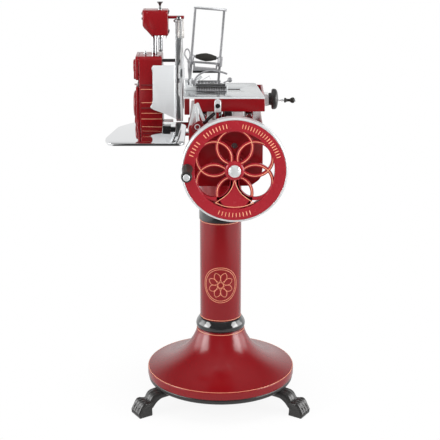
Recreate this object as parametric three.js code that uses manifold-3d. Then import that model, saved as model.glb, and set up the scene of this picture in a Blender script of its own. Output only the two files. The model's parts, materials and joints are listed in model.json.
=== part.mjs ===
// Hand-cranked flywheel slicer on a pedestal, in millimetres.
// +X is to the operator's right, +Y away from the operator, +Z up, with the feet on Z = 0.
// Every place below is counted from the column's axis; the last lines centre the whole on its box.

import * as THREE from 'three';
import { mergeVertices } from 'three/addons/utils/BufferGeometryUtils.js';
import Module from 'manifold-3d';

const wasm = await Module();
wasm.setup();

// Fits and shared values
const gap = 0.3;
const runningGap = 0.6;
const overrun = 3;
const weldDistance = 1e-4;
const roundSides = 20;
const smallSides = 10;
const largeSides = 32;
const cornerSteps = 3;

// Pedestal
const footHeight = 83;
const footToeRadius = 366;
const footHeelRadius = 210;
const footToeWidth = 76;
const footLegWidth = 50;
const footToeCount = 4;
const footToeLength = 52;
const footToeHeight = 36;
const footBearing = 30;
const baseRingRadius = 272;
const baseRingBore = 204;
const baseRingHeight = 19;
const baseRimRadius = 275;
const baseRimHeight = 30;
const baseHeight = 184;
const baseNeckRadius = 87;
const baseNeckBore = 40;
const baseWall = 9;
const baseSteps = 6;
const lowerRingHeight = 42;
const lowerRingRadius = 92;
const lowerRingSeatRadius = 78;
const columnRadius = 76;
const columnWall = 7;
const columnHeight = 542;
const columnFlangeHeight = 14;
const upperRingThickness = 2.4;
const upperRingHeight = 40;
const upperRingRise = 381;

// Main casting
const frameWidth = 258;
const frameCentreX = 18;
const frameHeight = 222;
const frameFrontY = -172;
const frameRearY = 252;
const frameWall = 9;
const frameNeckRadius = 86;
const frameNeckHeight = 18;
const rearCoverThickness = 10;
const rearNotchDepth = 52;
const railRadius = 9;
const railFrontY = -126;
const railRearY = 256;
const railLeftX = -62;
const railRightX = 100;
const railPostWidth = 26;
const railPostLength = 30;
const railSeatShare = 0.4;
const rodSlotMargin = 4.5;
const webY = 44;

// Flywheel and its shaft
const flywheelX = 48;
const flywheelRise = 74;
const flywheelFaceY = -255;
const flywheelRadius = 185;
const rimThickness = 7.5;
const rimWidth = 42;
const flywheelWidth = 36;
const ringInnerRadius = 138;
const petalRadius = 60.5;
const petalOffset = 81.5;
const petalCount = 6;
const petalBand = 11;
const petalRecess = 5;
const petalThickness = 16;
const hubRadius = 34;
const hubFront = 6;
const hubDepth = 46;
const hubCapRadius = 22;
const hubCapHeight = 11;
const wheelShaftRadius = 15;
const wheelShaftRear = -34;
const bushWall = 7;
const bearingBossRadius = 32;
const bearingBossDepth = 96;
const bearingBossRise = 6;
const crankPinOffsetX = -162;
const crankPinOffsetZ = 10;
const crankPinRadius = 7;
const crankPinSeatRadius = 17;
const crankPinSeatHeight = 6;
const crankPinCapRadius = 14;
const crankPinCapHeight = 5;
const gripLength = 118;
const gripRadius = 19;
const gripWaistShare = 0.82;

// Gears and shafts inside the casting
const gearTeeth = 17;
const gearModule = 4;
const gearWidth = 16;
const gearY = -58;
const bevelTeeth = 18;
const bevelModule = 3;
const bevelWidth = 9;
const counterShaftRadius = 10;
const crossShaftY = 150;
const crossShaftRadius = 7.5;
const crossShaftRightX = 136;
const crossShaftLeftX = -292;
const crankArmRadius = 85;
const crankArmX = 5;
const crankArmThickness = 10;
const crankArmHubRadius = 22;
const crankArmEndRadius = 14;
const armNeckShare = 0.7;
const connectingRodX = -6;
const connectingRodThickness = 9.5;
const connectingRodEyeRadius = 12;
const connectingRodNeck = 12;
const connectingPinRadius = 5;
const connectingPinInset = 12;
const connectingPinDrop = 15;

// Knife side
const knifeRise = 168;
const knifeRadius = 155;
const knifeX = -146;
const knifeThickness = 3.2;
const knifeDish = 7;
const knifeRimWidth = 22;
const knifeBevel = 9;
const knifeShaftRadius = 9;
const knifeFlangeRadius = 34;
const knifeFlangeThickness = 6;
const knifeCoverRadius = 104;
const knifeCoverX = -139;
const knifeCoverThickness = 3;
const knifeCoverTab = 34;
const armRadius = 12;
const armBlockWidth = 36;
const armBlockSize = 40;
const armFlangeRadius = 30;
const armFlangeThickness = 8;
const housingRightX = -212;
const housingWidth = 84;
const housingHalfDepth = 62;
const housingTopRise = 266;
const housingCorner = 14;
const housingWall = 7;
const housingCoverThickness = 12;
const coverBossRadius = 42;
const coverBossHeight = 8;
const coverWaistWidth = 26;
const coverWaistDepth = 9;
const oilCapRadius = 6.5;
const oilCapHeight = 17;
const oilCapX = -273;
const oilCapY = 118;
const sprocketTeeth = 24;
const sprocketPitch = 11;
const knifeSprocketTeeth = 8;
const sprocketWidth = 6;
const sprocketX = -258;
const chainThickness = 5;
const guardInner = 160;
const guardOuter = 170;
const guardWidth = 24;
const guardRightX = -141;
const guardPlate = 4;
const guardPlateInner = 60;
const guardFrontInset = 18;
const guardHeelInset = 46;
const guardPlateReach = 35;
const guardTopHeight = 54;
const guardTopThickness = 6;
const stayRadius = 6;
const stayRise = 78;
const stayOffsetY = -18;

// Slice deflector
const deflectorHeight = 194;
const deflectorWidth = 91;
const deflectorThickness = 3;
const deflectorOffsetY = -88;
const deflectorBottomRise = 46;
const deflectorPinRadius = 4;
const deflectorPinX = -163;
const deflectorLugHeight = 12;

// Sharpener
const postRadius = 10.5;
const postX = -242.5;
const postExposed = 72;
const postSeatDepth = 14;
const postGripDepth = 42;
const headHeight = 91;
const headWidth = 93;
const headDepth = 62;
const headLeftX = -282;
const headWall = 5;
const spindleX = -219;
const spindleRadius = 8;
const spindleTip = 64;
const spindleTravel = 8;
const spindleKnobHeight = 20.2;
const spindleKnobRadius = 11;
const spindleCollarRadius = 11;
const spindleCollarHeight = 12;
const sharpenerArmTipX = -132;
const sharpenerArmHeight = 10;
const sharpenerArmDepth = 16;
const sharpenerArmDrop = 23;
const sharpenerArmHub = 11;
const stoneRadius = 14;
const stoneThickness = 7;
const stoneGap = 3;
const stoneStemRadius = 3;

// Carriage
const carriageRise = 41.5;
const carriageLeftX = -92;
const carriageRightX = 154;
const carriageHeight = 45;
const carriageFrontY = -130;
const carriageLength = 260;
const carriageWall = 8;
const ribHeight = 6;
const bearingLength = 26;
const bearingWidth = 28;
const bearingDrop = 27;
const tableThickness = 6;
const tableLeftX = -130;
const tableTaper = 26;
const tableCorner = 6;
const tableSlotWidth = 16;
const tableSlotLength = 150;
const lugWidth = 23;
const lugHeight = 46;
const lugThickness = 10;
const lugX = -10;
const feedScrewRadius = 6;
const feedScrewY = 6;
const feedScrewDrop = 34.5;
const feedBlockWidth = 17;
const feedBlockHeight = 44;
const feedBlockDepth = 40;
const handwheelRadius = 37;
const handwheelWidth = 24;
const handwheelHubRadius = 20;
const handwheelHubWidth = 10;
const feedStemRadius = 3;
const feedStemOffset = 22;
const feedStemLength = 20;
const feedKnobLength = 37;
const feedKnobRadius = 10.5;

// Meat holder
const saddleLeftX = -128;
const saddleWidth = 152;
const saddleFrontY = -16;
const saddleDepth = 60;
const saddleHeight = 14;
const nutWidth = 20;
const nutX = -70;
const pivotBlockWidth = 30;
const pivotBlockHeight = 40;
const pivotBlockDepth = 24;
const spikedBarLength = 108;
const spikedBarX = -90;
const spikedBarHeight = 8;
const spikedBarDepth = 26;
const spikeHeight = 6;
const spikeRadius = 3;
const spikeCount = 9;
const spikeSides = 6;
const rodRadius = 4.5;
const rodLeftX = -110;
const rodY = 32;
const rodSpacing = 102;
const rodLean = 4.6;
const rodLength = 262;
const rodFootHeight = 12;
const rodFootWidth = 16;
const topBarRadius = 5;
const topBarOverhang = 9;
const pressRise = 45;
const pressPlateHeight = 9;
const pressInset = 8;
const pressFrontY = -12;
const pressDepth = 40;
const pressLegWidth = 6;
const pressLegHeight = 18;
const pressGripLift = 17;
const pressSleeveRadius = 9;
const pressSleeveHeight = 34;
const gripBarRadius = 4;
const pressGripRadius = 15;
const pressGripLength = 74;
const leverWidth = 7;
const leverLength = 76;
const leverLoopWidth = 20;
const leverLoopHeight = 50;
const leverLoopBand = 6;
const leverEyeRadius = 9;
const leverPinRadius = 4;

// Receiving tray
const trayDrop = 43.5;
const trayFrameGap = 13;
const trayWidth = 276;
const trayThickness = 2.5;
const trayFrontY = -262;
const trayRearY = 80;
const trayCorner = 22;
const trayLip = 6;
const trayLipWidth = 4;
const ledgeReach = 96;
const ledgeThickness = 8;
const ledgeWidth = 34;
const ledgeY = -60;

// Slice-thickness lever
const thicknessX = -74;
const thicknessDrop = 20;
const thicknessHubRadius = 15;
const thicknessHubDepth = 10;
const thicknessPinRadius = 6;
const thicknessPinDepth = 12;
const thicknessLeverLength = 88;
const thicknessLeverWidth = 12;
const thicknessLeverDepth = 6;
const thicknessLean = 6;

// Heights that follow from the sizes above
const baseRingZ = footHeight + gap;
const baseZ = baseRingZ + baseRingHeight + gap;
const lowerRingZ = baseZ + baseHeight + gap;
const columnZ = lowerRingZ + lowerRingHeight + gap;
const columnTopZ = columnZ + columnHeight;
const frameZ = columnTopZ + gap;
const frameTopZ = frameZ + frameHeight;
const carriageBottomZ = frameTopZ + carriageRise;
const trayZ = frameTopZ - trayDrop;
const frameLeftX = frameCentreX - frameWidth / 2;
const frameRightX = frameCentreX + frameWidth / 2;
const trayRightX = frameLeftX - trayFrameGap;
const trayLeftX = trayRightX - trayWidth;
const flywheelZ = frameZ + flywheelRise + frameNeckHeight / 2;
const gearDistance = gearModule * gearTeeth;
const counterZ = flywheelZ + gearDistance;
const bevelPitchRadius = bevelModule * bevelTeeth / 2;
const knifeZ = counterZ + knifeRise;
const housingTopZ = counterZ + housingTopRise;
const housingLeftX = housingRightX - housingWidth;
const railZ = (frameTopZ + carriageBottomZ) / 2 + railRadius / 2;
const tableZ = carriageBottomZ + carriageHeight + gap;
const tableTopZ = tableZ + tableThickness;
const carriageRearY = carriageFrontY + carriageLength;
const headZ = housingTopZ + postExposed;
const feedZ = tableTopZ - feedScrewDrop;
const saddleZ = tableTopZ + gap;
const leverPinRise = pivotBlockHeight - leverEyeRadius - gap;
const pressLegTop = pressRise + pressPlateHeight + pressLegHeight;
const gripRise = pressLegTop + pressGripLift;
const connectingPinY = carriageFrontY + connectingPinInset;
const connectingPinZ = carriageBottomZ - connectingPinDrop;
const crankToPinDrop = connectingPinZ - counterZ;
const rodReach = Math.hypot(connectingPinY - crossShaftY, crankToPinDrop) - 2 * crankArmRadius;
const carriageStroke = crossShaftY - Math.sqrt(rodReach ** 2 - crankToPinDrop ** 2) - connectingPinY;

// Colours
const redPaint = { color: 0x9c0d18, roughness: 0.25, metalness: 0.1 };
const blackPaint = { color: 0x15130f, roughness: 0.3, metalness: 0.1 };
const castIron = { color: 0x1d1a17, roughness: 0.5, metalness: 0.6 };
const chrome = { color: 0xd8dadb, roughness: 0.08, metalness: 1 };
const polishedAluminium = { color: 0xc9cccd, roughness: 0.2, metalness: 1 };
const steel = { color: 0x8d8f90, roughness: 0.35, metalness: 1 };
const bronze = { color: 0xa9803f, roughness: 0.4, metalness: 1 };
const blackPlastic = { color: 0x14120f, roughness: 0.3, metalness: 0 };
const stone = { color: 0x8f8a80, roughness: 0.9, metalness: 0 };

const slicer = new THREE.Group();

// Merges shared corners, drops empty triangles and turns the faces outwards
function closedSolid(geometry) {
  const bare = geometry.clone();
  bare.deleteAttribute('normal');
  bare.deleteAttribute('uv');
  const merged = mergeVertices(bare, weldDistance);
  const place = merged.attributes.position;
  const corners = [0, 1, 2].map(() => new THREE.Vector3());
  const faces = [];
  let volume = 0;
  for (let i = 0; i < merged.index.count; i += 3) {
    const [a, b, c] = [0, 1, 2].map((k) => merged.index.getX(i + k));
    if (a === b || b === c || c === a) continue;
    [a, b, c].forEach((corner, k) => corners[k].fromBufferAttribute(place, corner));
    volume += corners[0].dot(corners[1].clone().cross(corners[2]));
    faces.push([a, b, c]);
  }
  if (volume < 0) faces.forEach((face) => face.reverse());
  merged.setIndex(faces.flat());
  return merged;
}

function toManifold(geometry) {
  const solid = closedSolid(geometry);
  const vertProperties = Float32Array.from(solid.attributes.position.array);
  const triVerts = Uint32Array.from(solid.index.array);
  return new wasm.Manifold(new wasm.Mesh({ numProp: 3, vertProperties, triVerts }));
}

function fromManifold(manifold) {
  const mesh = manifold.getMesh();
  const geometry = new THREE.BufferGeometry();
  geometry.setAttribute('position', new THREE.BufferAttribute(Float32Array.from(mesh.vertProperties), 3));
  geometry.setIndex(new THREE.BufferAttribute(Uint32Array.from(mesh.triVerts), 1));
  return geometry;
}

function join(...pieces) {
  return fromManifold(pieces.map(toManifold).reduce((sum, piece) => sum.add(piece)));
}

function cut(body, ...tools) {
  return fromManifold(tools.map(toManifold).reduce((rest, tool) => rest.subtract(tool), toManifold(body)));
}

function overlap(first, second) {
  return fromManifold(toManifold(first).intersect(toManifold(second)));
}

function add(name, finish, geometry, x = 0, y = 0, z = 0) {
  const mesh = new THREE.Mesh(closedSolid(geometry), new THREE.MeshStandardMaterial(finish));
  mesh.name = name;
  mesh.position.set(x, y, z);
  slicer.add(mesh);
  return mesh;
}

// Lays a shape that was built along Z along another axis
function lay(geometry, axis) {
  const bases = {
    x: [[0, 1, 0], [0, 0, 1], [1, 0, 0]],
    y: [[0, 0, 1], [1, 0, 0], [0, 1, 0]],
    z: [[1, 0, 0], [0, 1, 0], [0, 0, 1]],
  };
  const directions = bases[axis].map((direction) => new THREE.Vector3(...direction));
  return geometry.applyMatrix4(new THREE.Matrix4().makeBasis(...directions));
}

function move(geometry, x, y, z) {
  return geometry.translate(x, y, z);
}

// A turned solid: profile holds [radius, distance along the axis] pairs
function turned(profile, axis = 'z', sides = roundSides) {
  const points = profile.map(([radius, along]) => new THREE.Vector2(radius, along));
  return lay(new THREE.LatheGeometry(points, sides).rotateX(Math.PI / 2), axis);
}

function bar(radius, from, to, axis = 'z', sides = roundSides) {
  return turned([[0, from], [radius, from], [radius, to], [0, to]], axis, sides);
}

function pipe(outer, inner, from, to, axis = 'z', sides = roundSides) {
  return turned([[inner, from], [outer, from], [outer, to], [inner, to], [inner, from]], axis, sides);
}

function block(x0, x1, y0, y1, z0, z1) {
  const box = new THREE.BoxGeometry(x1 - x0, y1 - y0, z1 - z0);
  return move(box, (x0 + x1) / 2, (y0 + y1) / 2, (z0 + z1) / 2);
}

// An outline with rounded corners; points hold [across, up, corner radius]
function outline(points) {
  const shape = new THREE.Shape();
  points.forEach(([x, y, radius = 0], i) => {
    const here = new THREE.Vector2(x, y);
    const before = new THREE.Vector2(...points.at(i - 1));
    const after = new THREE.Vector2(...points[(i + 1) % points.length]);
    const enter = here.clone().add(before.sub(here).setLength(radius));
    const leave = here.clone().add(after.sub(here).setLength(radius));
    if (i === 0) shape.moveTo(enter.x, enter.y);
    else shape.lineTo(enter.x, enter.y);
    if (radius > 0) shape.quadraticCurveTo(x, y, leave.x, leave.y);
  });
  shape.closePath();
  return shape;
}

// A plate cut to an outline: across and up are Y,Z for axis x, Z,X for axis y and X,Y for axis z
function plate(points, from, to, axis) {
  const shape = points instanceof THREE.Shape ? points : outline(points);
  const solid = new THREE.ExtrudeGeometry(shape, {
    depth: to - from, bevelEnabled: false, curveSegments: cornerSteps,
  });
  return lay(move(solid, 0, 0, from), axis);
}

// The same for outlines drawn as seen from the front, in X and Z
function frontPlate(points, from, to) {
  return plate(points.map(([x, z, radius]) => [z, x, radius]), from, to, 'y');
}

function scaled(shares, acrossSize, upSize, acrossStart = 0, upStart = 0) {
  return shares.map(([across, up, radius = 0]) => [
    acrossStart + across * acrossSize, upStart + up * upSize, radius * Math.min(acrossSize, upSize),
  ]);
}

// Pedestal

const pawProfileShares = [
  [0, 1], [0.43, 1], [0.48, 1.1], [0.56, 1.08], [0.68, 0.86], [0.84, 0.5], [0.93, 0.36],
  [0.93, 0], [0.68, 0], [0.6, 0.2], [0.5, 0.5], [0.34, 0.74], [0.12, 0.84], [0, 0.86],
];

function pawFoot(bearing) {
  const length = footToeRadius - footHeelRadius;
  const profile = scaled(pawProfileShares, length, footHeight, footHeelRadius);
  const leg = frontPlate(profile, -footLegWidth / 2, footLegWidth / 2);
  const toeWidth = footToeWidth / footToeCount;
  const pieces = [leg];
  for (let i = 0; i < footToeCount; i += 1) {
    const toe = new THREE.SphereGeometry(1, smallSides, smallSides / 2);
    toe.scale(footToeLength / 2, toeWidth * toeSwellShare, footToeHeight);
    pieces.push(move(toe, footToeRadius - footToeLength / 2, (i - (footToeCount - 1) / 2) * toeWidth, 0));
  }
  const sole = block(
    footToeRadius - footToeLength, footToeRadius - footToeLength * soleSetbackShare,
    -footToeWidth / 2, footToeWidth / 2, 0, footToeHeight / 3,
  );
  const below = block(0, footToeRadius * 2, -footToeWidth, footToeWidth, -footToeHeight * 2, 0);
  return cut(join(...pieces, sole), below).rotateZ(THREE.MathUtils.degToRad(bearing));
}

const toeSwellShare = 0.62;
const soleSetbackShare = 0.12;

function bellCurve(inset) {
  const height = baseHeight - baseRimHeight;
  const points = [
    [baseNeckRadius, baseHeight],
    [baseNeckRadius * bellWaistShare, baseRimHeight + height * bellUpperShare],
    [baseRimRadius * bellFlareShare, baseRimHeight + height * bellLowerShare],
    [baseRimRadius, baseRimHeight],
  ].map(([radius, up]) => new THREE.Vector2(radius - inset, up - inset));
  return new THREE.CubicBezierCurve(...points).getPoints(baseSteps).map((point) => [point.x, point.y]);
}

const bellWaistShare = 1.2;
const bellUpperShare = 0.5;
const bellFlareShare = 0.62;
const bellLowerShare = 0.12;

function pedestalBase() {
  return turned([
    [baseNeckBore, baseHeight], ...bellCurve(0), [baseRimRadius, 0], [baseRimRadius - baseWall, 0],
    ...bellCurve(baseWall).reverse(), [baseNeckBore, baseHeight - baseWall], [baseNeckBore, baseHeight],
  ], 'z', largeSides);
}

const ringBulgeShares = [[0.7, 0], [0.92, 0.12], [1, 0.38], [0.8, 0.62], [0, 1]];

function columnLowerRing() {
  const bulge = scaled(
    ringBulgeShares, lowerRingRadius - lowerRingSeatRadius, lowerRingHeight, lowerRingSeatRadius,
  );
  return turned([
    [baseNeckBore, 0], ...bulge, [baseNeckBore, lowerRingHeight], [baseNeckBore, 0],
  ], 'z', largeSides);
}

function pedestalColumn() {
  const tube = pipe(columnRadius, columnRadius - columnWall, 0, columnHeight);
  const cap = pipe(columnRadius, baseNeckBore, columnHeight - columnFlangeHeight, columnHeight);
  return join(tube, cap);
}

function buildPedestal() {
  add('paw_foot_left', castIron, pawFoot(180 + footBearing));
  add('paw_foot_right', castIron, pawFoot(-footBearing));
  add('paw_foot_rear', castIron, pawFoot(90));
  const ring = pipe(baseRingRadius, baseRingBore, 0, baseRingHeight, 'z', largeSides);
  add('base_ring', blackPaint, ring, 0, 0, baseRingZ);
  add('pedestal_base', redPaint, pedestalBase(), 0, 0, baseZ);
  add('column_lower_ring', blackPaint, columnLowerRing(), 0, 0, lowerRingZ);
  add('pedestal_column', redPaint, pedestalColumn(), 0, 0, columnZ);
  const seat = columnRadius + gap;
  const sleeve = pipe(seat + upperRingThickness, seat, 0, upperRingHeight);
  add('column_upper_ring', blackPaint, sleeve, 0, 0, columnZ + upperRingRise);
}

// Main casting: a hollow box open at the rear, on a round neck

const frameShares = [
  [0.12, 0.02, 0.02], [0.05, 0.12, 0.06], [0, 0.34, 0.06], [0, 1, 0.03], [1, 1, 0.03], [1, 0.3, 0.06],
  [0.97, 0.14, 0.06], [0.84, 0.03, 0.03],
];

function mainFrame() {
  const shell = frontPlate(
    scaled(frameShares, frameWidth, frameHeight, frameLeftX, frameZ), frameFrontY, frameRearY,
  );
  const inner = scaled(
    frameShares, frameWidth - 2 * frameWall, frameHeight - frameWall - frameNeckHeight,
    frameLeftX + frameWall, frameZ + frameNeckHeight,
  );
  const cavity = frontPlate(inner, frameFrontY + frameWall, frameRearY + overrun);
  const neck = bar(frameNeckRadius, frameZ, frameZ + frameNeckHeight);
  const bosses = [
    discY(
      bearingBossRadius, [flywheelX, flywheelZ], frameFrontY - bearingBossRise,
      frameFrontY + bearingBossDepth,
    ),
    discY(
      counterShaftRadius * 2, [flywheelX, counterZ], frameFrontY, frameFrontY + bearingBossDepth,
      smallSides,
    ),
  ];
  const postYs = [railFrontY, frameRearY - railPostLength];
  const posts = [railLeftX, railRightX].flatMap((x) => postYs.map((y) => block(
    x - railPostWidth / 2, x + railPostWidth / 2, y, y + railPostLength,
    frameTopZ - frameWall, railZ + railRadius * railSeatShare,
  )));
  const web = block(
    flywheelX - bearingBossRadius, flywheelX + bearingBossRadius, webY, webY + frameWall,
    frameZ + frameNeckHeight / 2, frameTopZ - frameWall / 2,
  );
  const ledgeTop = trayZ - trayLip - gap;
  const ledge = block(
    frameLeftX - ledgeReach, frameLeftX + frameWall / 2, ledgeY - ledgeWidth / 2, ledgeY + ledgeWidth / 2,
    ledgeTop - ledgeThickness, ledgeTop,
  );
  const body = join(cut(join(shell, neck), cavity), ...bosses, ...posts, web, ledge);
  const rodSlot = block(
    connectingRodX - rodSlotMargin, crankArmX + crankArmThickness + rodSlotMargin,
    frameFrontY + frameWall + gap, crossShaftY + crankArmRadius + crankArmEndRadius + rodSlotMargin,
    frameTopZ - frameWall - overrun, frameTopZ + overrun,
  );
  const bores = [
    discY(
      wheelShaftRadius + bushWall + gap, [flywheelX, flywheelZ],
      frameFrontY - bearingBossRise - overrun, frameFrontY + bearingBossDepth + overrun,
    ),
    discY(
      counterShaftRadius + gap, [flywheelX, counterZ], frameFrontY - overrun, webY + frameWall + overrun,
    ),
    move(
      bar(crossShaftRadius + gap, frameLeftX - overrun, frameRightX - frameWall / 2, 'x'), 0, crossShaftY,
      counterZ,
    ),
    ...[railLeftX, railRightX].map(
      (x) => move(bar(railRadius + gap, railFrontY - overrun, railRearY, 'y'), x, 0, railZ),
    ),
    discY(
      thicknessPinRadius + gap, [thicknessX, frameTopZ - thicknessDrop],
      frameFrontY - overrun, frameFrontY + frameWall + overrun, smallSides,
    ),
  ];
  return cut(body, rodSlot, ...bores);
}

function buildFrame() {
  add('main_frame', redPaint, mainFrame());
  const lid = frontPlate(
    scaled(frameShares, frameWidth, frameHeight, frameLeftX, frameZ), frameRearY + gap,
    frameRearY + gap + rearCoverThickness,
  );
  const notch = block(
    connectingRodX - rodSlotMargin, connectingRodX + connectingRodThickness + rodSlotMargin,
    frameRearY - overrun, frameRearY + rearCoverThickness + overrun, frameTopZ - rearNotchDepth,
    frameTopZ + overrun,
  );
  add('rear_cover', redPaint, cut(lid, notch));
  [['rail_left', railLeftX], ['rail_right', railRightX]].forEach(([name, x]) => {
    add(name, steel, bar(railRadius, railFrontY, railRearY, 'y'), x, 0, railZ);
  });
  const bush = pipe(
    wheelShaftRadius + bushWall, wheelShaftRadius + gap, frameFrontY, frameFrontY + bearingBossDepth, 'y',
  );
  add('flywheel_bearing', bronze, bush, flywheelX, 0, flywheelZ);
}

// Flywheel

function polarPoint(radius, degrees) {
  const angle = THREE.MathUtils.degToRad(degrees);
  return [radius * Math.cos(angle), radius * Math.sin(angle)];
}

function discY(radius, centre, from, to, sides = roundSides) {
  return move(bar(radius, from, to, 'y', sides), centre[0], 0, centre[1]);
}

function flywheelCasting() {
  const centres = Array.from(
    { length: petalCount }, (_, i) => polarPoint(petalOffset, 90 + i * 360 / petalCount),
  );
  const front = petalRecess;
  const rear = petalRecess + petalThickness;
  const innerPetal = petalRadius - petalBand / 2;
  const outerPetal = petalRadius + petalBand / 2;
  const petals = centres.map((centre) => cut(
    discY(outerPetal, centre, front, rear),
    discY(innerPetal, centre, front - overrun, rear + overrun),
  ));
  const weightIndex = petalCount / 2;
  const weight = cut(
    discY(outerPetal, centres[weightIndex], front, rear),
    discY(innerPetal, centres[weightIndex - 1], front - overrun, rear + overrun),
    discY(innerPetal, centres[weightIndex + 1], front - overrun, rear + overrun),
  );
  const ring = pipe(
    flywheelRadius - rimThickness - gap, ringInnerRadius, 0, flywheelWidth, 'y', largeSides,
  );
  const limit = bar(flywheelRadius - rimThickness - 2 * overrun, 0, flywheelWidth, 'y', largeSides);
  const hub = bar(hubRadius, -hubFront, hubDepth - hubFront, 'y');
  const spokes = overlap(join(...petals, weight), limit);
  const body = join(ring, spokes, hub);
  const bore = bar(wheelShaftRadius + gap, -hubFront - overrun, hubDepth, 'y');
  const pinBore = discY(
    crankPinRadius + gap, [crankPinOffsetX, crankPinOffsetZ], -overrun, flywheelWidth + overrun,
  );
  return cut(body, bore, pinBore);
}

function hubCap() {
  return turned(hubCapShares.map(([radius, along]) => [hubCapRadius * radius, -hubCapHeight * along]), 'y');
}

const hubCapShares = [[0, 0], [1, 0], [1, 0.3], [0.8, 0.75], [0.4, 1], [0, 1]];
const pinCapTopShare = 0.7;

function crankPin() {
  const seat = -crankPinSeatHeight;
  const end = seat - gripLength - 2 * runningGap;
  const capEnd = end - crankPinCapHeight;
  return turned([
    [0, flywheelWidth], [crankPinRadius, flywheelWidth], [crankPinRadius, -gap], [crankPinSeatRadius, -gap],
    [crankPinSeatRadius, seat], [crankPinRadius, seat], [crankPinRadius, end],
    [crankPinCapRadius, end], [crankPinCapRadius, end - crankPinCapHeight / 2],
    [crankPinCapRadius * pinCapTopShare, capEnd], [0, capEnd],
  ], 'y');
}

const gripShares = [
  [0.9, 0], [1, 0.1], [0.92, 0.2], [gripWaistShare, 0.45], [0.9, 0.75], [1, 0.9], [0.95, 1],
];

function crankGrip() {
  const start = -crankPinSeatHeight - runningGap;
  const bore = crankPinRadius + gap;
  const profile = gripShares.map(([radius, along]) => [gripRadius * radius, start - along * gripLength]);
  return turned([[bore, start], ...profile, [bore, start - gripLength], [bore, start]], 'y');
}

function buildFlywheel() {
  const place = [flywheelX, flywheelFaceY, flywheelZ];
  add('flywheel', redPaint, flywheelCasting(), ...place);
  const rim = pipe(flywheelRadius, flywheelRadius - rimThickness, 0, rimWidth, 'y', largeSides);
  add('flywheel_rim', chrome, rim, ...place);
  add('hub_cap', chrome, hubCap(), flywheelX, flywheelFaceY - hubFront - gap, flywheelZ);
  const shaft = bar(wheelShaftRadius, flywheelFaceY - hubFront, wheelShaftRear, 'y');
  add('flywheel_shaft', steel, shaft, flywheelX, 0, flywheelZ);
  const pinPlace = [flywheelX + crankPinOffsetX, flywheelFaceY, flywheelZ + crankPinOffsetZ];
  add('crank_pin', chrome, crankPin(), ...pinPlace);
  add('crank_grip', blackPlastic, crankGrip(), ...pinPlace);
}

// Gears, shafts and the crank that moves the carriage

const toothShares = [[-0.3, 0], [-0.12, 1], [0.12, 1], [0.3, 0]];
const rootDepthShare = 1.2;
const tipHeightShare = 0.85;

// A toothed wheel's outline; half a tooth of turn puts a gap where a tooth was
function toothedOutline(teeth, moduleSize, turnTeeth = 0) {
  const pitchRadius = moduleSize * teeth / 2;
  const root = pitchRadius - moduleSize * rootDepthShare;
  const tip = pitchRadius + moduleSize * tipHeightShare;
  const points = [];
  for (let i = 0; i < teeth; i += 1) {
    toothShares.forEach(([across, up]) => {
      points.push(polarPoint(root + up * (tip - root), (i + turnTeeth + across) * 360 / teeth));
    });
  }
  return points;
}

function toothedWheel(teeth, moduleSize, width, bore, axis, turnTeeth = 0) {
  const wheel = plate(toothedOutline(teeth, moduleSize, turnTeeth), 0, width, axis);
  return cut(wheel, bar(bore, -overrun, width + overrun, axis));
}

// A bevel wheel drawn towards the point where the two shafts cross, at pitchRadius above its back
function bevelWheel(bore, turnTeeth, hubLength) {
  const wheel = plate(toothedOutline(bevelTeeth, bevelModule, turnTeeth), 0, bevelWidth, 'z');
  const place = wheel.attributes.position;
  for (let i = 0; i < place.count; i += 1) {
    const share = 1 - place.getZ(i) / bevelPitchRadius;
    place.setXY(i, place.getX(i) * share, place.getY(i) * share);
  }
  const hub = bar(bore * 2, -hubLength, bevelWidth / 2, 'z');
  return cut(join(wheel, hub), bar(bore, -hubLength - overrun, bevelWidth + overrun, 'z'));
}

function crankArm() {
  const [pinY, pinZ] = crankPinRest();
  const half = crankArmEndRadius * armNeckShare;
  const limb = block(0, crankArmThickness, 0, crankArmRadius, -half, half);
  const hub = bar(crankArmHubRadius, 0, crankArmThickness, 'x');
  const eye = move(bar(crankArmEndRadius, 0, crankArmThickness, 'x'), 0, crankArmRadius, 0);
  const bore = bar(crossShaftRadius + gap, -overrun, crankArmThickness + overrun, 'x');
  return cut(join(limb, hub, eye), bore).rotateX(Math.atan2(pinZ, pinY));
}

// At rest the crank and the connecting rod lie in one line and hold the carriage at its front stop
function crankPinRest() {
  const dy = connectingPinY - crossShaftY;
  const dz = connectingPinZ - counterZ;
  const length = Math.hypot(dy, dz);
  return [crankArmRadius * dy / length, crankArmRadius * dz / length];
}

function connectingRod() {
  const [pinY, pinZ] = crankPinRest();
  const length = Math.hypot(crossShaftY + pinY - connectingPinY, counterZ + pinZ - connectingPinZ);
  const limb = block(0, connectingRodThickness, 0, length, -connectingRodNeck / 2, connectingRodNeck / 2);
  const eyes = [0, length].map(
    (y) => move(bar(connectingRodEyeRadius, 0, connectingRodThickness, 'x'), 0, y, 0),
  );
  const bores = [0, length].map((y) => move(
    bar(connectingPinRadius + gap, -overrun, connectingRodThickness + overrun, 'x', smallSides), 0, y, 0,
  ));
  return cut(join(limb, ...eyes), ...bores).rotateX(Math.atan2(pinZ, pinY) + Math.PI);
}

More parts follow.
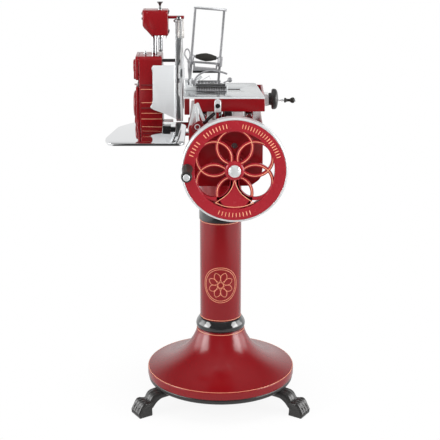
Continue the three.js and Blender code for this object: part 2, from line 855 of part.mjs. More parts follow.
function buildDrive() {
  const drive = toothedWheel(gearTeeth, gearModule, gearWidth, wheelShaftRadius + gap, 'y');
  add('drive_gear', steel, drive, flywheelX, gearY, flywheelZ);
  const spur = plate(
    toothedOutline(gearTeeth, gearModule, (gearTeeth + 1) / 2), gearY, gearY + gearWidth, 'y',
  );
  const pinionBack = crossShaftY - bevelPitchRadius;
  const shaft = bar(counterShaftRadius, frameFrontY + overrun, pinionBack + bevelWidth, 'y', smallSides);
  add('counter_shaft', steel, join(spur, shaft), flywheelX, 0, counterZ);
  const pinion = lay(bevelWheel(counterShaftRadius + gap, bevelTeeth / 4 + 1 / 2, bevelWidth), 'y');
  add('bevel_pinion', steel, pinion, flywheelX, pinionBack, counterZ);
  const mate = lay(bevelWheel(crossShaftRadius + gap, bevelTeeth / 2, bevelWidth).rotateX(Math.PI), 'x');
  add('bevel_gear', steel, mate, flywheelX + bevelPitchRadius, crossShaftY, counterZ);
  const cross = bar(crossShaftRadius, crossShaftLeftX, crossShaftRightX, 'x');
  add('cross_shaft', steel, cross, 0, crossShaftY, counterZ);
  add('crank_arm', steel, crankArm(), crankArmX, crossShaftY, counterZ);
  add('connecting_rod', steel, connectingRod(), connectingRodX, connectingPinY, connectingPinZ);
}

// Knife, its housing and its chain

function housingOutline(inset) {
  const half = housingHalfDepth - inset;
  const corner = housingCorner - inset / 2;
  return outline([
    [crossShaftY - half, housingTopZ - inset, corner], [crossShaftY + half, housingTopZ - inset, corner],
    [crossShaftY + half, counterZ - half, half * roundEndShare],
    [crossShaftY - half, counterZ - half, half * roundEndShare],
  ]);
}

const roundEndShare = 0.98;

function knifeHousing() {
  const shell = plate(housingOutline(0), housingLeftX, housingRightX, 'x');
  const cavity = plate(
    housingOutline(housingWall), housingLeftX - overrun, housingRightX - housingWall, 'x',
  );
  const seatTop = housingTopZ - housingWall / 2;
  const seat = move(
    bar(postRadius + housingWall, seatTop - postSeatDepth * 2, seatTop, 'z', smallSides), postX,
    crossShaftY, 0,
  );
  const bores = [counterZ, knifeZ].map((z) => move(
    bar(knifeShaftRadius + gap, housingRightX - housingWall - overrun, housingRightX + overrun, 'x'),
    0, crossShaftY, z,
  ));
  const postHole = move(
    bar(postRadius + gap, housingTopZ - postSeatDepth, housingTopZ + overrun), postX, crossShaftY, 0,
  );
  return cut(join(cut(shell, cavity), seat), ...bores, postHole);
}

function housingCover() {
  const left = housingLeftX - gap - housingCoverThickness;
  const lid = plate(housingOutline(0), left, housingLeftX - gap, 'x');
  const bosses = [
    [counterZ, coverBossRadius], [knifeZ + coverWaistWidth, coverBossRadius],
  ].map(([z, radius]) => move(
    bar(radius, left - coverBossHeight, left + overrun, 'x'), 0, crossShaftY, z,
  ));
  const waistZ = knifeZ;
  const waist = block(
    left - coverBossHeight - overrun, left + coverWaistDepth,
    crossShaftY - housingHalfDepth - overrun, crossShaftY + housingHalfDepth + overrun,
    waistZ - coverWaistWidth / 2, waistZ + coverWaistWidth / 2,
  );
  return cut(join(lid, ...bosses), waist);
}

// The bracket that carries the knife side, bored for the cross shaft
function knifeArm() {
  const from = housingRightX + gap;
  const to = frameLeftX - gap;
  const half = armBlockSize / 2;
  const body = join(
    move(bar(armRadius, from, to, 'x'), 0, crossShaftY, counterZ),
    block(
      from, from + armBlockWidth, crossShaftY - half, crossShaftY + half, counterZ - half, counterZ + half,
    ),
    move(bar(armFlangeRadius, to - armFlangeThickness, to, 'x'), 0, crossShaftY, counterZ),
  );
  return cut(
    body, move(bar(crossShaftRadius + gap, from - overrun, to + overrun, 'x'), 0, crossShaftY, counterZ),
  );
}

function knifeBlade() {
  const rim = knifeRadius - knifeRimWidth;
  const shoulder = rim * dishShare;
  const bore = knifeShaftRadius + gap;
  const t = knifeThickness;
  return turned([
    [bore, -knifeDish], [shoulder, -knifeDish], [rim, 0], [knifeRadius - knifeBevel, 0],
    [knifeRadius, t * edgeShare], [knifeRadius, t], [rim, t], [shoulder, t - knifeDish],
    [bore, t - knifeDish], [bore, -knifeDish],
  ], 'x', largeSides);
}

const dishShare = 0.62;
const edgeShare = 0.8;

function knifeShaft() {
  const flangeEnd = knifeX - knifeDish - gap;
  const flangeStart = flangeEnd - knifeFlangeThickness;
  return turned([
    [0, sprocketX - 2 * sprocketWidth], [knifeShaftRadius, sprocketX - 2 * sprocketWidth],
    [knifeShaftRadius, flangeStart], [knifeFlangeRadius, flangeStart], [knifeFlangeRadius, flangeEnd],
    [knifeShaftRadius, flangeEnd], [knifeShaftRadius, knifeX], [0, knifeX],
  ], 'x');
}

// A fixed plate over the knife's flat side, held at the guard by its tab
function knifeCover() {
  const disc = bar(knifeCoverRadius, knifeCoverX, knifeCoverX + knifeCoverThickness, 'x');
  const half = knifeCoverTab / 2;
  const tab = block(
    knifeCoverX, knifeCoverX + knifeCoverThickness, knifeCoverRadius * tabStartShare, guardOuter, -half,
    half,
  );
  const foot = block(
    guardRightX + gap, knifeCoverX + knifeCoverThickness / 2, guardInner + gap, guardOuter, -half, half,
  );
  return join(disc, tab, foot);
}

const tabStartShare = 0.9;

function knifeGuard() {
  const left = guardRightX - guardWidth;
  const reach = guardOuter + overrun;
  const rear = block(left - overrun, guardRightX + overrun, guardFrontInset, reach, -reach, reach);
  const middle = block(left - overrun, guardRightX + overrun, -guardPlateReach, reach, -reach, reach);
  const ring = overlap(pipe(guardOuter, guardInner, left, guardRightX, 'x', largeSides), rear);
  const rearPlate = overlap(
    pipe(guardInner + overrun, guardPlateInner, left, left + guardPlate, 'x'), rear,
  );
  const frontPart = overlap(
    pipe(guardInner - guardFrontInset, guardPlateInner, left, left + guardPlate, 'x'), middle,
  );
  const top = block(
    left, guardRightX, guardFrontInset + overrun, guardFrontInset + overrun + guardTopThickness,
    guardInner, guardOuter + guardTopHeight,
  );
  const pinY = deflectorOffsetY + deflectorPinRadius + gap;
  const lugs = deflectorLugRises().map((rise) => block(
    left, left + guardPlate, pinY, -guardPlateReach + overrun,
    rise, rise + deflectorLugHeight,
  ));
  const heel = block(
    left - overrun, guardRightX + overrun, -reach, guardHeelInset, -reach, -guardInner + guardHeelInset / 2,
  );
  return join(cut(join(ring, rearPlate, frontPart), heel), top, ...lugs);
}

// The two heights, counted from the knife's axis, where the deflector hangs on the guard
function deflectorLugRises() {
  const bottom = counterZ + deflectorBottomRise - knifeZ;
  return lugRiseShares.map((share) => bottom + deflectorHeight * share);
}

const lugRiseShares = [0.36, 0.82];
const deflectorShares = [
  [0.14, 1, 0.02], [1, 1, 0.01], [1, 0, 0.01], [0.57, 0.09, 0.02], [0.16, 0.16, 0.03], [0, 0.21, 0.04],
  [0.08, 0.27, 0.05], [0.12, 0.36, 0.05], [0.12, 0.88, 0.05], [0.08, 0.94, 0.03],
];

function sliceDeflector() {
  const bottom = counterZ + deflectorBottomRise;
  const right = deflectorPinX - deflectorPinRadius / 2;
  const sheet = frontPlate(
    scaled(deflectorShares, deflectorWidth, deflectorHeight, right - deflectorWidth, bottom),
    -deflectorThickness / 2, deflectorThickness / 2,
  );
  const pin = move(
    bar(deflectorPinRadius, bottom, bottom + deflectorHeight, 'z', smallSides), deflectorPinX, 0, 0,
  );
  return join(sheet, pin);
}

function beltShape(lowRadius, highRadius, distance) {
  const spread = Math.acos((lowRadius - highRadius) / distance);
  const quarter = Math.PI / 2;
  const shape = new THREE.Shape();
  shape.absarc(0, distance, highRadius, quarter - spread, quarter + spread);
  shape.absarc(0, 0, lowRadius, quarter + spread, quarter - spread + 4 * quarter);
  return shape;
}

function knifeChain() {
  const moduleSize = sprocketPitch / Math.PI;
  const reach = moduleSize * tipHeightShare + 2 * gap;
  const low = moduleSize * sprocketTeeth / 2 + reach;
  const high = moduleSize * knifeSprocketTeeth / 2 + reach;
  const loop = beltShape(low + chainThickness, high + chainThickness, knifeRise);
  loop.holes.push(beltShape(low, high, knifeRise));
  const solid = new THREE.ExtrudeGeometry(
    loop, { depth: sprocketWidth, bevelEnabled: false, curveSegments: cornerSteps * 3 },
  );
  return lay(solid, 'x');
}

function buildKnife() {
  add('knife_arm', castIron, knifeArm());
  add('knife_housing', redPaint, knifeHousing());
  add('housing_cover', redPaint, housingCover());
  const cap = turned([
    [0, 0], [oilCapRadius, 0], [oilCapRadius, oilCapHeight / 3], [oilCapRadius / 3, oilCapHeight / 2],
    [oilCapRadius / 2, oilCapHeight * capBallShare], [0, oilCapHeight],
  ], 'z', smallSides);
  add('oil_cap', steel, cap, oilCapX, oilCapY, housingTopZ + gap);
  const moduleSize = sprocketPitch / Math.PI;
  const low = toothedWheel(sprocketTeeth, moduleSize, sprocketWidth, crossShaftRadius + gap, 'x');
  add('drive_sprocket', steel, low, sprocketX, crossShaftY, counterZ);
  const high = toothedWheel(knifeSprocketTeeth, moduleSize, sprocketWidth, knifeShaftRadius + gap, 'x');
  add('knife_sprocket', steel, high, sprocketX, crossShaftY, knifeZ);
  add('knife_chain', steel, knifeChain(), sprocketX, crossShaftY, counterZ);
  add('knife_shaft', steel, knifeShaft(), 0, crossShaftY, knifeZ);
  add('knife_blade', chrome, knifeBlade(), knifeX, crossShaftY, knifeZ);
  add('knife_cover', polishedAluminium, knifeCover(), 0, crossShaftY, knifeZ);
  add('knife_guard', polishedAluminium, knifeGuard(), 0, crossShaftY, knifeZ);
  const stay = bar(stayRadius, housingRightX + gap, guardRightX - guardWidth - gap, 'x', smallSides);
  add('guard_stay', chrome, stay, 0, crossShaftY + stayOffsetY, knifeZ + stayRise);
  add('slice_deflector', polishedAluminium, sliceDeflector(), 0, crossShaftY + deflectorOffsetY, 0);
}

const capBallShare = 0.8;

// Sharpener

const headShares = [[0, 1, 0.05], [1, 1, 0.05], [1, 0, 0.05], [0.34, 0, 0.05], [0, 0.38, 0.05]];

function sharpenerHousing() {
  const half = headDepth / 2;
  const shell = frontPlate(scaled(headShares, headWidth, headHeight, headLeftX, headZ), -half, half);
  const inside = scaled(
    headShares, headWidth - 2 * headWall, headHeight - headWall, headLeftX + headWall, headZ,
  ).map(([x, z, radius]) => [x, z > headZ ? z : z - overrun, radius]);
  const cavity = frontPlate(inside, headWall - half, half - headWall);
  const bush = move(bar(postRadius + headWall, headZ, headZ + postGripDepth + headWall, 'z'), postX, 0, 0);
  const postHole = move(bar(postRadius + gap, headZ - overrun, headZ + postGripDepth), postX, 0, 0);
  const web = block(
    headLeftX + headWall / 2, postX - postRadius, -headWall / 2, headWall / 2,
    headZ + postGripDepth / 2, headZ + headHeight - headWall / 2,
  );
  const spindleHole = move(
    bar(
      spindleRadius + gap, headZ + headHeight - 2 * headWall, headZ + headHeight + overrun, 'z', smallSides,
    ),
    spindleX, 0, 0,
  );
  const slotHalf = sharpenerArmDepth / 2 + gap;
  const armTop = headZ + headHeight - sharpenerArmDrop;
  const slot = block(
    headLeftX + headWidth - headWall - overrun, headLeftX + headWidth + overrun, -slotHalf, slotHalf,
    armTop - sharpenerArmHeight - spindleTravel - gap, armTop + gap,
  );
  return cut(join(cut(shell, cavity), bush, web), postHole, spindleHole, slot);
}

// The spindle, its knob on top and the tip under the head, in one turned piece
function sharpenerSpindle() {
  const top = headZ + headHeight + spindleTravel;
  const r = spindleRadius;
  const knob = knobShares.map(([radius, up]) => [spindleKnobRadius * radius, top + up * spindleKnobHeight]);
  const collarTop = headZ - spindleTravel / 4;
  return turned([
    [0, headZ - spindleTip], [r, headZ - spindleTip], [r, collarTop - spindleCollarHeight],
    [spindleCollarRadius / 2, collarTop - spindleCollarHeight],
    [spindleCollarRadius, collarTop - spindleCollarHeight / 3],
    [spindleCollarRadius, collarTop], [r, collarTop], [r, top], ...knob,
  ], 'z', smallSides);
}

const knobShares = [[0.7, 0], [0.45, 0.3], [0.45, 0.5], [1, 0.75], [1, 0.95], [0, 1]];

function sharpenerArm() {
  const half = sharpenerArmDepth / 2;
  const limb = block(spindleX, sharpenerArmTipX, -half, half, -sharpenerArmHeight, 0);
  const hub = move(bar(sharpenerArmHub, -sharpenerArmHeight, 0, 'z', smallSides), spindleX, 0, 0);
  const bore = move(
    bar(spindleRadius + gap, -sharpenerArmHeight - overrun, overrun, 'z', smallSides), spindleX, 0, 0,
  );
  return cut(join(limb, hub), bore);
}

function sharpeningStone(x) {
  const centreZ = knifeZ + knifeRadius + stoneGap / 2 + stoneRadius;
  const armBottom = headZ + headHeight - sharpenerArmDrop - sharpenerArmHeight;
  const disc = move(
    bar(stoneRadius, -stoneThickness / 2, stoneThickness / 2, 'x', smallSides), 0, 0, centreZ,
  );
  const stem = bar(stoneStemRadius, centreZ, armBottom - gap, 'z', smallSides);
  return [join(disc, stem), x, crossShaftY, 0];
}

function buildSharpener() {
  const post = bar(postRadius, housingTopZ - postSeatDepth + gap, headZ + postGripDepth - gap, 'z');
  add('sharpener_post', chrome, post, postX, crossShaftY, 0);
  add('sharpener_housing', redPaint, sharpenerHousing(), 0, crossShaftY, 0);
  add('sharpener_spindle', blackPaint, sharpenerSpindle(), spindleX, crossShaftY, 0);
  add('sharpener_arm', redPaint, sharpenerArm(), 0, crossShaftY, headZ + headHeight - sharpenerArmDrop);
  const offset = stoneThickness / 2 + stoneGap;
  add('grinding_stone', stone, ...sharpeningStone(knifeX - offset));
  add('honing_stone', stone, ...sharpeningStone(knifeX + knifeThickness + offset));
}

// Carriage and its feed

function carriageFrame() {
  const top = carriageBottomZ + carriageHeight;
  const ribTop = carriageBottomZ + ribHeight;
  const inLeft = carriageLeftX + carriageWall;
  const inRight = carriageRightX - carriageWall;
  const walls = cut(
    block(carriageLeftX, carriageRightX, carriageFrontY, carriageRearY, carriageBottomZ, top),
    block(
      inLeft, inRight, carriageFrontY + carriageWall, carriageRearY - carriageWall,
      carriageBottomZ - overrun, top + overrun,
    ),
  );
  const starts = bearingStarts();
  const ribs = starts.map((y) => block(
    inLeft - overrun, inRight + overrun, y, y + bearingLength, carriageBottomZ + gap, ribTop,
  ));
  const bearings = starts.flatMap((y) => [railLeftX, railRightX].map((x) => block(
    x - bearingWidth / 2, x + bearingWidth / 2, y, y + bearingLength,
    carriageBottomZ - bearingDrop, carriageBottomZ + ribHeight / 2,
  )));
  const railBores = [railLeftX, railRightX].map((x) => move(
    bar(railRadius + gap, carriageFrontY - overrun, carriageRearY + overrun, 'y'), x, 0, railZ,
  ));
  const hangerX = connectingRodX - gap;
  const hanger = block(
    hangerX - connectingRodThickness, hangerX, carriageFrontY + gap,
    connectingPinY + connectingRodEyeRadius,
    connectingPinZ - connectingRodEyeRadius, carriageBottomZ + ribHeight,
  );
  const pin = move(
    bar(connectingPinRadius, hangerX - overrun, connectingRodX + connectingRodThickness, 'x', smallSides),
    0, connectingPinY, connectingPinZ,
  );
  const screwBore = move(
    bar(feedScrewRadius + gap, carriageLeftX - overrun, carriageRightX + overrun, 'x'), 0,
    feedScrewY, feedZ,
  );
  return join(cut(join(walls, ...ribs, ...bearings), ...railBores, screwBore), hanger, pin);
}

// The bearings stand just behind the front rail posts, and clear the rear ones at the end of the stroke
function bearingStarts() {
  const front = railFrontY + railPostLength + runningGap;
  const rear = frameRearY - railPostLength - carriageStroke - bearingLength - runningGap;
  return [front, rear];
}

function tablePlate() {
  const sheet = plate([
    [tableLeftX, carriageFrontY, tableCorner], [carriageRightX, carriageFrontY, tableCorner],
    [carriageRightX - tableTaper, carriageRearY, 2 * tableCorner], [tableLeftX, carriageRearY, tableCorner],
  ], 0, tableThickness, 'z');
  const start = nutX - nutWidth / 2 - runningGap;
  const slot = block(
    start, start + tableSlotLength, feedScrewY - tableSlotWidth / 2, feedScrewY + tableSlotWidth / 2,
    -overrun, tableThickness + overrun,
  );
  return cut(sheet, slot);
}

function buildCarriage() {
  add('carriage_frame', redPaint, carriageFrame());
  add('table_plate', polishedAluminium, tablePlate(), 0, 0, tableZ);
  const half = lugWidth / 2;
  const lug = frontPlate([
    [-half, 0, half / 3], [half, 0, half / 3], [half, lugHeight, half], [-half, lugHeight, half],
  ], -lugThickness - gap, -gap);
  add('front_lug', chrome, lug, lugX, carriageFrontY, tableZ - lugHeight - gap);
  const wheelX = carriageRightX + gap + feedBlockWidth + gap;
  const screw = bar(feedScrewRadius, carriageLeftX + gap, wheelX + handwheelHubWidth, 'x', smallSides);
  add('feed_screw', steel, screw, 0, feedScrewY, feedZ);
  const endBlock = cut(
    block(
      0, feedBlockWidth, -feedBlockDepth / 2, feedBlockDepth / 2, -feedBlockHeight / 2, feedBlockHeight / 2,
    ),
    bar(feedScrewRadius + gap, -overrun, feedBlockWidth + overrun, 'x'),
  );
  add('feed_end_block', chrome, endBlock, carriageRightX + gap, feedScrewY, feedZ);
  const wheelEnd = handwheelHubWidth + handwheelWidth;
  const disc = turned([
    [feedScrewRadius + gap, 0], [handwheelHubRadius, 0], [handwheelHubRadius, handwheelHubWidth],
    [handwheelRadius * handwheelEdgeShare, handwheelHubWidth],
    [handwheelRadius, handwheelHubWidth + handwheelWidth / 4],
    [handwheelRadius, wheelEnd - handwheelWidth / 4], [handwheelRadius * handwheelEdgeShare, wheelEnd],
    [0, wheelEnd],
    [0, handwheelHubWidth + gap], [feedScrewRadius + gap, handwheelHubWidth + gap],
    [feedScrewRadius + gap, 0],
  ], 'x');
  const stemEnd = wheelEnd + feedStemLength + feedKnobLength + 2 * runningGap;
  const stem = move(turned([
    [0, wheelEnd - overrun], [feedStemRadius, wheelEnd - overrun], [feedStemRadius, stemEnd],
    [2 * feedStemRadius, stemEnd], [2 * feedStemRadius, stemEnd + feedStemRadius],
    [0, stemEnd + feedStemRadius],
  ], 'x', smallSides), 0, -feedStemOffset, 0);
  add('feed_handwheel', blackPaint, join(disc, stem), wheelX, feedScrewY, feedZ);
  const bore = feedStemRadius + gap;
  const knobStart = wheelEnd + feedStemLength + runningGap;
  const spool = spoolShares.map(
    ([radius, along]) => [feedKnobRadius * radius, knobStart + along * feedKnobLength],
  );
  const knob = turned(
    [[bore, knobStart], ...spool, [bore, knobStart + feedKnobLength], [bore, knobStart]], 'x', smallSides,
  );
  add('feed_crank_knob', blackPlastic, knob, wheelX, feedScrewY - feedStemOffset, feedZ);
}

const handwheelEdgeShare = 0.97;
const spoolShares = [[0.8, 0], [0.85, 0.12], [0.5, 0.25], [0.45, 0.5], [1, 0.75], [0.95, 0.92], [0.6, 1]];

// Meat holder: a saddle on the table, moved by the feed screw

function holderSaddle() {
  const right = saddleLeftX + saddleWidth;
  const slab = block(saddleLeftX, right, saddleFrontY, saddleFrontY + saddleDepth, 0, saddleHeight);
  const nutHalf = tableSlotWidth / 2 - runningGap;
  const nut = block(
    nutX - nutWidth / 2, nutX + nutWidth / 2, feedScrewY - nutHalf, feedScrewY + nutHalf,
    feedZ - feedScrewRadius - overrun - saddleZ, saddleHeight / 2,
  );
  const cheeks = block(
    saddleLeftX, saddleLeftX + pivotBlockWidth, -pivotBlockDepth / 2, pivotBlockDepth / 2,
    saddleHeight / 2, pivotBlockHeight,
  );
  const slotX = saddleLeftX + (pivotBlockWidth - leverWidth) / 2 - gap;
  const slot = block(
    slotX, slotX + leverWidth + 2 * gap, -pivotBlockDepth, pivotBlockDepth,
    leverPinRise - leverEyeRadius - overrun, pivotBlockHeight + overrun,
  );
  const pin = move(
    bar(leverPinRadius, saddleLeftX + overrun, saddleLeftX + pivotBlockWidth - overrun, 'x', smallSides),
    0, 0, leverPinRise,
  );
  const screwBore = move(
    bar(feedScrewRadius + gap, nutX - nutWidth, nutX + nutWidth, 'x'), 0, feedScrewY,
    feedZ - saddleZ,
  );
  return cut(join(cut(join(slab, nut, cheeks), slot), pin), screwBore);
}

function spike() {
  const low = spikedBarHeight / 2;
  const high = spikedBarHeight + spikeHeight;
  return turned([[0, low], [spikeRadius, low], [spikeRadius / 4, high], [0, high]], 'z', spikeSides);
}

function spikedBar() {
  const bed = block(0, spikedBarLength, -spikedBarDepth / 2, spikedBarDepth / 2, 0, spikedBarHeight);
  const spikes = Array.from({ length: spikeCount }, (_, i) => move(
    spike(), (i + 1 / 2) * spikedBarLength / spikeCount, 0, 0,
  ));
  return join(bed, ...spikes);
}

// Rods and press are drawn upright over the left rod's foot, then leant together
function lean(geometry) {
  return geometry.rotateY(THREE.MathUtils.degToRad(rodLean));
}

function rodFrame() {
  const rods = [0, rodSpacing].map((x) => move(bar(rodRadius, 0, rodLength, 'z', smallSides), x, 0, 0));
  const topBar = move(
    bar(topBarRadius, -topBarRadius, rodSpacing + topBarOverhang, 'x', smallSides), 0, 0, rodLength,
  );
  const foot = block(
    -rodFootWidth / 2, rodSpacing + rodFootWidth / 2, -rodFootWidth / 2, rodFootWidth / 2, -rodFootHeight,
    0,
  );
  return join(lean(join(...rods, topBar)), foot);
}

function pressFrame() {
  const right = rodSpacing - pressInset;
  const front = pressFrontY - rodY;
  const plateTop = pressRise + pressPlateHeight;
  const legTop = pressLegTop;
  const bed = block(pressInset, right, front, front + pressDepth, pressRise, plateTop);
  const legs = [pressInset, right - pressLegWidth].map((x) => block(
    x, x + pressLegWidth, front + pressDepth / 2, pressLegWidth, plateTop - overrun, legTop,
  ));
  const cross = block(
    0, rodSpacing, -pressLegWidth, pressLegWidth, legTop - pressLegWidth, legTop,
  );
  const sleeves = [0, rodSpacing].map((x) => move(
    bar(
      pressSleeveRadius, legTop - pressLegWidth * 2, legTop + pressSleeveHeight - pressLegWidth * 2, 'z',
      smallSides,
    ), x, 0, 0,
  ));
  const gripBar = move(bar(gripBarRadius, 0, rodSpacing, 'x', smallSides), 0, 0, gripRise);
  const bores = [0, rodSpacing].map(
    (x) => move(bar(rodRadius + gap, 0, rodLength, 'z', smallSides), x, 0, 0),
  );
  return lean(cut(join(bed, ...legs, cross, ...sleeves, gripBar), ...bores));
}

const spindleGripShares = [
  [0.45, 0], [0.5, 0.06], [0.8, 0.25], [1, 0.5], [0.8, 0.75], [0.5, 0.94], [0.45, 1],
];

function pressGrip() {
  const start = (rodSpacing - pressGripLength) / 2;
  const bore = gripBarRadius + gap;
  const profile = spindleGripShares.map(
    ([radius, along]) => [pressGripRadius * radius, start + along * pressGripLength],
  );
  const grip = turned([[bore, start], ...profile, [bore, start + pressGripLength], [bore, start]], 'x');
  return lean(move(grip, 0, 0, gripRise));
}

function clampLever() {
  const half = leverWidth / 2;
  const neck = block(-half, half, -half, half, 0, leverLength - leverLoopHeight + leverLoopBand / 2);
  const eye = bar(leverEyeRadius, -half, half, 'x', smallSides);
  const loop = frontPlate(loopPoints(0), -half, half);
  const hole = frontPlate(loopPoints(leverLoopBand), -half - overrun, half + overrun);
  return cut(
    join(neck, eye, cut(loop, hole)),
    bar(leverPinRadius + gap, -half - overrun, half + overrun, 'x', smallSides),
  );
}

function loopPoints(inset) {
  const half = leverLoopWidth / 2 - inset;
  const low = leverLength - leverLoopHeight + inset;
  const high = leverLength - inset;
  return [[-half, low, half], [half, low, half], [half, high, half], [-half, high, half]];
}

function buildHolder() {
  add('holder_saddle', chrome, holderSaddle(), 0, 0, saddleZ);
  const seatZ = saddleZ + saddleHeight + gap;
  const barY = saddleFrontY + spikedBarDepth / 2 + overrun;
  add('spiked_bar', steel, spikedBar(), spikedBarX, barY, seatZ);
  const rodPlace = [rodLeftX, rodY, seatZ + rodFootHeight];
  add('rod_frame', chrome, rodFrame(), ...rodPlace);
  add('press_frame', chrome, pressFrame(), ...rodPlace);
  add('press_grip', blackPlastic, pressGrip(), ...rodPlace);
  add('clamp_lever', chrome, clampLever(), saddleLeftX + pivotBlockWidth / 2, 0, saddleZ + leverPinRise);
}

// Receiving tray and slice-thickness lever

const trayShares = [[0.06, 0], [1, 0], [1, 0.84], [0.84, 1], [0.34, 1], [0.12, 0.76], [0, 0.22]];

function trayPoints(inset) {
  const width = trayRightX - trayLeftX - 2 * inset;
  const depth = trayRearY - trayFrontY - 2 * inset;
  return trayShares.map(([across, along]) => [
    trayLeftX + inset + across * width, trayFrontY + inset + along * depth, trayCorner - inset,
  ]);
}

function sliceTray() {
  const sheet = plate(trayPoints(0), 0, trayThickness, 'z');
  const lipOuter = plate(trayPoints(0), -trayLip, trayThickness / 2, 'z');
  const lipInner = plate(trayPoints(trayLipWidth), -trayLip - overrun, trayThickness, 'z');
  return join(sheet, cut(lipOuter, lipInner));
}

const leverTipShare = 0.8;

function thicknessLever() {
  const front = -gap - thicknessHubDepth;
  const hub = bar(thicknessHubRadius, front, -gap, 'y');
  const pin = bar(thicknessPinRadius, -gap - overrun, thicknessPinDepth, 'y', smallSides);
  const half = thicknessLeverWidth / 2;
  const tip = half * leverTipShare;
  const limb = frontPlate([
    [-half, 0], [half, 0], [tip, thicknessLeverLength, tip / 2], [-tip, thicknessLeverLength, tip / 2],
  ], front, front + thicknessLeverDepth).rotateY(-THREE.MathUtils.degToRad(thicknessLean));
  return join(hub, pin, limb);
}

function buildTray() {
  add('slice_tray', chrome, sliceTray(), 0, 0, trayZ);
  add('thickness_lever', chrome, thicknessLever(), thicknessX, frameFrontY, frameTopZ - thicknessDrop);
}

// Puts the middle of the whole object's box over the origin, with the feet on Z = 0
function centre() {
  const box = new THREE.Box3().setFromObject(slicer);
  const middle = box.getCenter(new THREE.Vector3());
  slicer.children.forEach((mesh) => mesh.position.sub(new THREE.Vector3(middle.x, middle.y, box.min.z)));
}

buildPedestal();
buildFrame();
buildFlywheel();
buildDrive();
buildKnife();
buildSharpener();
buildCarriage();
buildHolder();
buildTray();
centre();

export default slicer;
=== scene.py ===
"""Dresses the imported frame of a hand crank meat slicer: pieces, finishes, stage and camera."""
import json
import math

import bmesh
import bpy
from bpy.props import FloatProperty, FloatVectorProperty, IntProperty, PointerProperty
from mathutils import Matrix, Vector

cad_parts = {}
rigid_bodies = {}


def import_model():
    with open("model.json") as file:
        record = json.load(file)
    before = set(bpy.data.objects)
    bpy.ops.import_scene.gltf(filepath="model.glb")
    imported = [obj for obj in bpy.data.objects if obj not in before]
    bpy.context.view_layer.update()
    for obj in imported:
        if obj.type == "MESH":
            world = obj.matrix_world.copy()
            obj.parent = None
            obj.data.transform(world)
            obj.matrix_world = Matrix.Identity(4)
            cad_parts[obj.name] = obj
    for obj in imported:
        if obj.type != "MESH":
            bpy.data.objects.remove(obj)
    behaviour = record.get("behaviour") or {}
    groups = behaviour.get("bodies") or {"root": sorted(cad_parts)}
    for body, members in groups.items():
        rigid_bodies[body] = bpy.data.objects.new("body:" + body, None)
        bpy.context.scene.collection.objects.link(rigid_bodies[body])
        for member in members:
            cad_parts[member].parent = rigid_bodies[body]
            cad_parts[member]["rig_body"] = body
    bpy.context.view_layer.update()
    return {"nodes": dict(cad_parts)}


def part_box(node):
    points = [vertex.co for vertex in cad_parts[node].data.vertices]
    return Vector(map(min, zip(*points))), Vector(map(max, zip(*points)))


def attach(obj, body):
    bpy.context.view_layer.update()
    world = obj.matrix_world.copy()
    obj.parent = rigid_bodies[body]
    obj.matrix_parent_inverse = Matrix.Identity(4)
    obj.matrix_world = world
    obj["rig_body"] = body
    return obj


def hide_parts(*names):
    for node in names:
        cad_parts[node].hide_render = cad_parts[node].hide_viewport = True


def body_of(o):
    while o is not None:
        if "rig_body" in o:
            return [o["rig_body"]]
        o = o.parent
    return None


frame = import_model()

bl_info = {
    "name": "Hand Crank Meat Slicer",
    "version": (1, 0, 0),
    "blender": (4, 5, 0),
    "location": "View3D > Sidebar > Slicer",
    "description": "Builds the dressed slicer, piece group by piece group, on its packed frame",
    "category": "Object",
}

MM = 0.001
SMALL_EDGE = MM
TURN_STEPS = 96
TUBE_STEPS = 20
SOFT_STEPS = 4
LINE_STEPS = 6
MERGE_DISTANCE = 2e-6
SHARP_ANGLE = math.radians(38)
BEVEL = {"segments": 3, "profile": 0.6, "affect": "EDGES"}
X_AXIS, Y_AXIS, Z_AXIS = Vector((1, 0, 0)), Vector((0, 1, 0)), Vector((0, 0, 1))


def length(name, text, millimetres):
    """A property that holds a length."""
    return FloatProperty(name=name, description=text, default=millimetres * MM, unit="LENGTH", precision=4)


def count(name, text, number):
    """A property that holds how often something repeats."""
    return IntProperty(name=name, description=text, default=number, min=0)


def colour(name, text, value):
    """A property that holds a linear colour."""
    return FloatVectorProperty(name=name, description=text, default=value, subtype="COLOR", min=0, max=1)


def power(name, text, watts):
    """A property that holds a lamp's power."""
    return FloatProperty(name=name, description=text, default=watts, unit="POWER")


class SlicerPaint(bpy.types.PropertyGroup):
    """Colours of the paints and metals."""
    red: colour("Red enamel", "Main red of the castings", (0.212, 0.003, 0.006))
    # darker red that the red enamel mixes in at random, and the painted shade of the housing's bands
    dark_red_and_shade: colour("Deep red", "Darker red, mixed in at random and painted as shade", (0.13, 0.002, 0.004))
    bright_red: colour("Bright red", "Red of the flywheel", (0.33, 0.014, 0.024))
    # this colour also paints the highlight along the bell's rim
    line: colour("Line", "Pinstripes and ornament", (0.80, 0.33, 0.19))
    black: colour("Black enamel", "Rings and small blocks", (0.010, 0.010, 0.011))
    iron: colour("Black iron", "Cast feet and the feed handwheel", (0.022, 0.020, 0.019))
    grip: colour("Grip", "Turned black grips", (0.020, 0.018, 0.015))
    plate: colour("Aluminium", "Polished plates", (0.74, 0.76, 0.77))
    chrome: colour("Chrome", "Bright plated parts", (0.80, 0.81, 0.82))
    steel: colour("Steel", "Ground steel parts", (0.52, 0.52, 0.53))
    rod: colour("Rod steel", "Dull steel of the rods and arms", (0.25, 0.25, 0.26))
    bronze: colour("Bronze", "Bushes", (0.56, 0.33, 0.12))
    stone: colour("Stone", "Sharpening stones", (0.58, 0.56, 0.53))


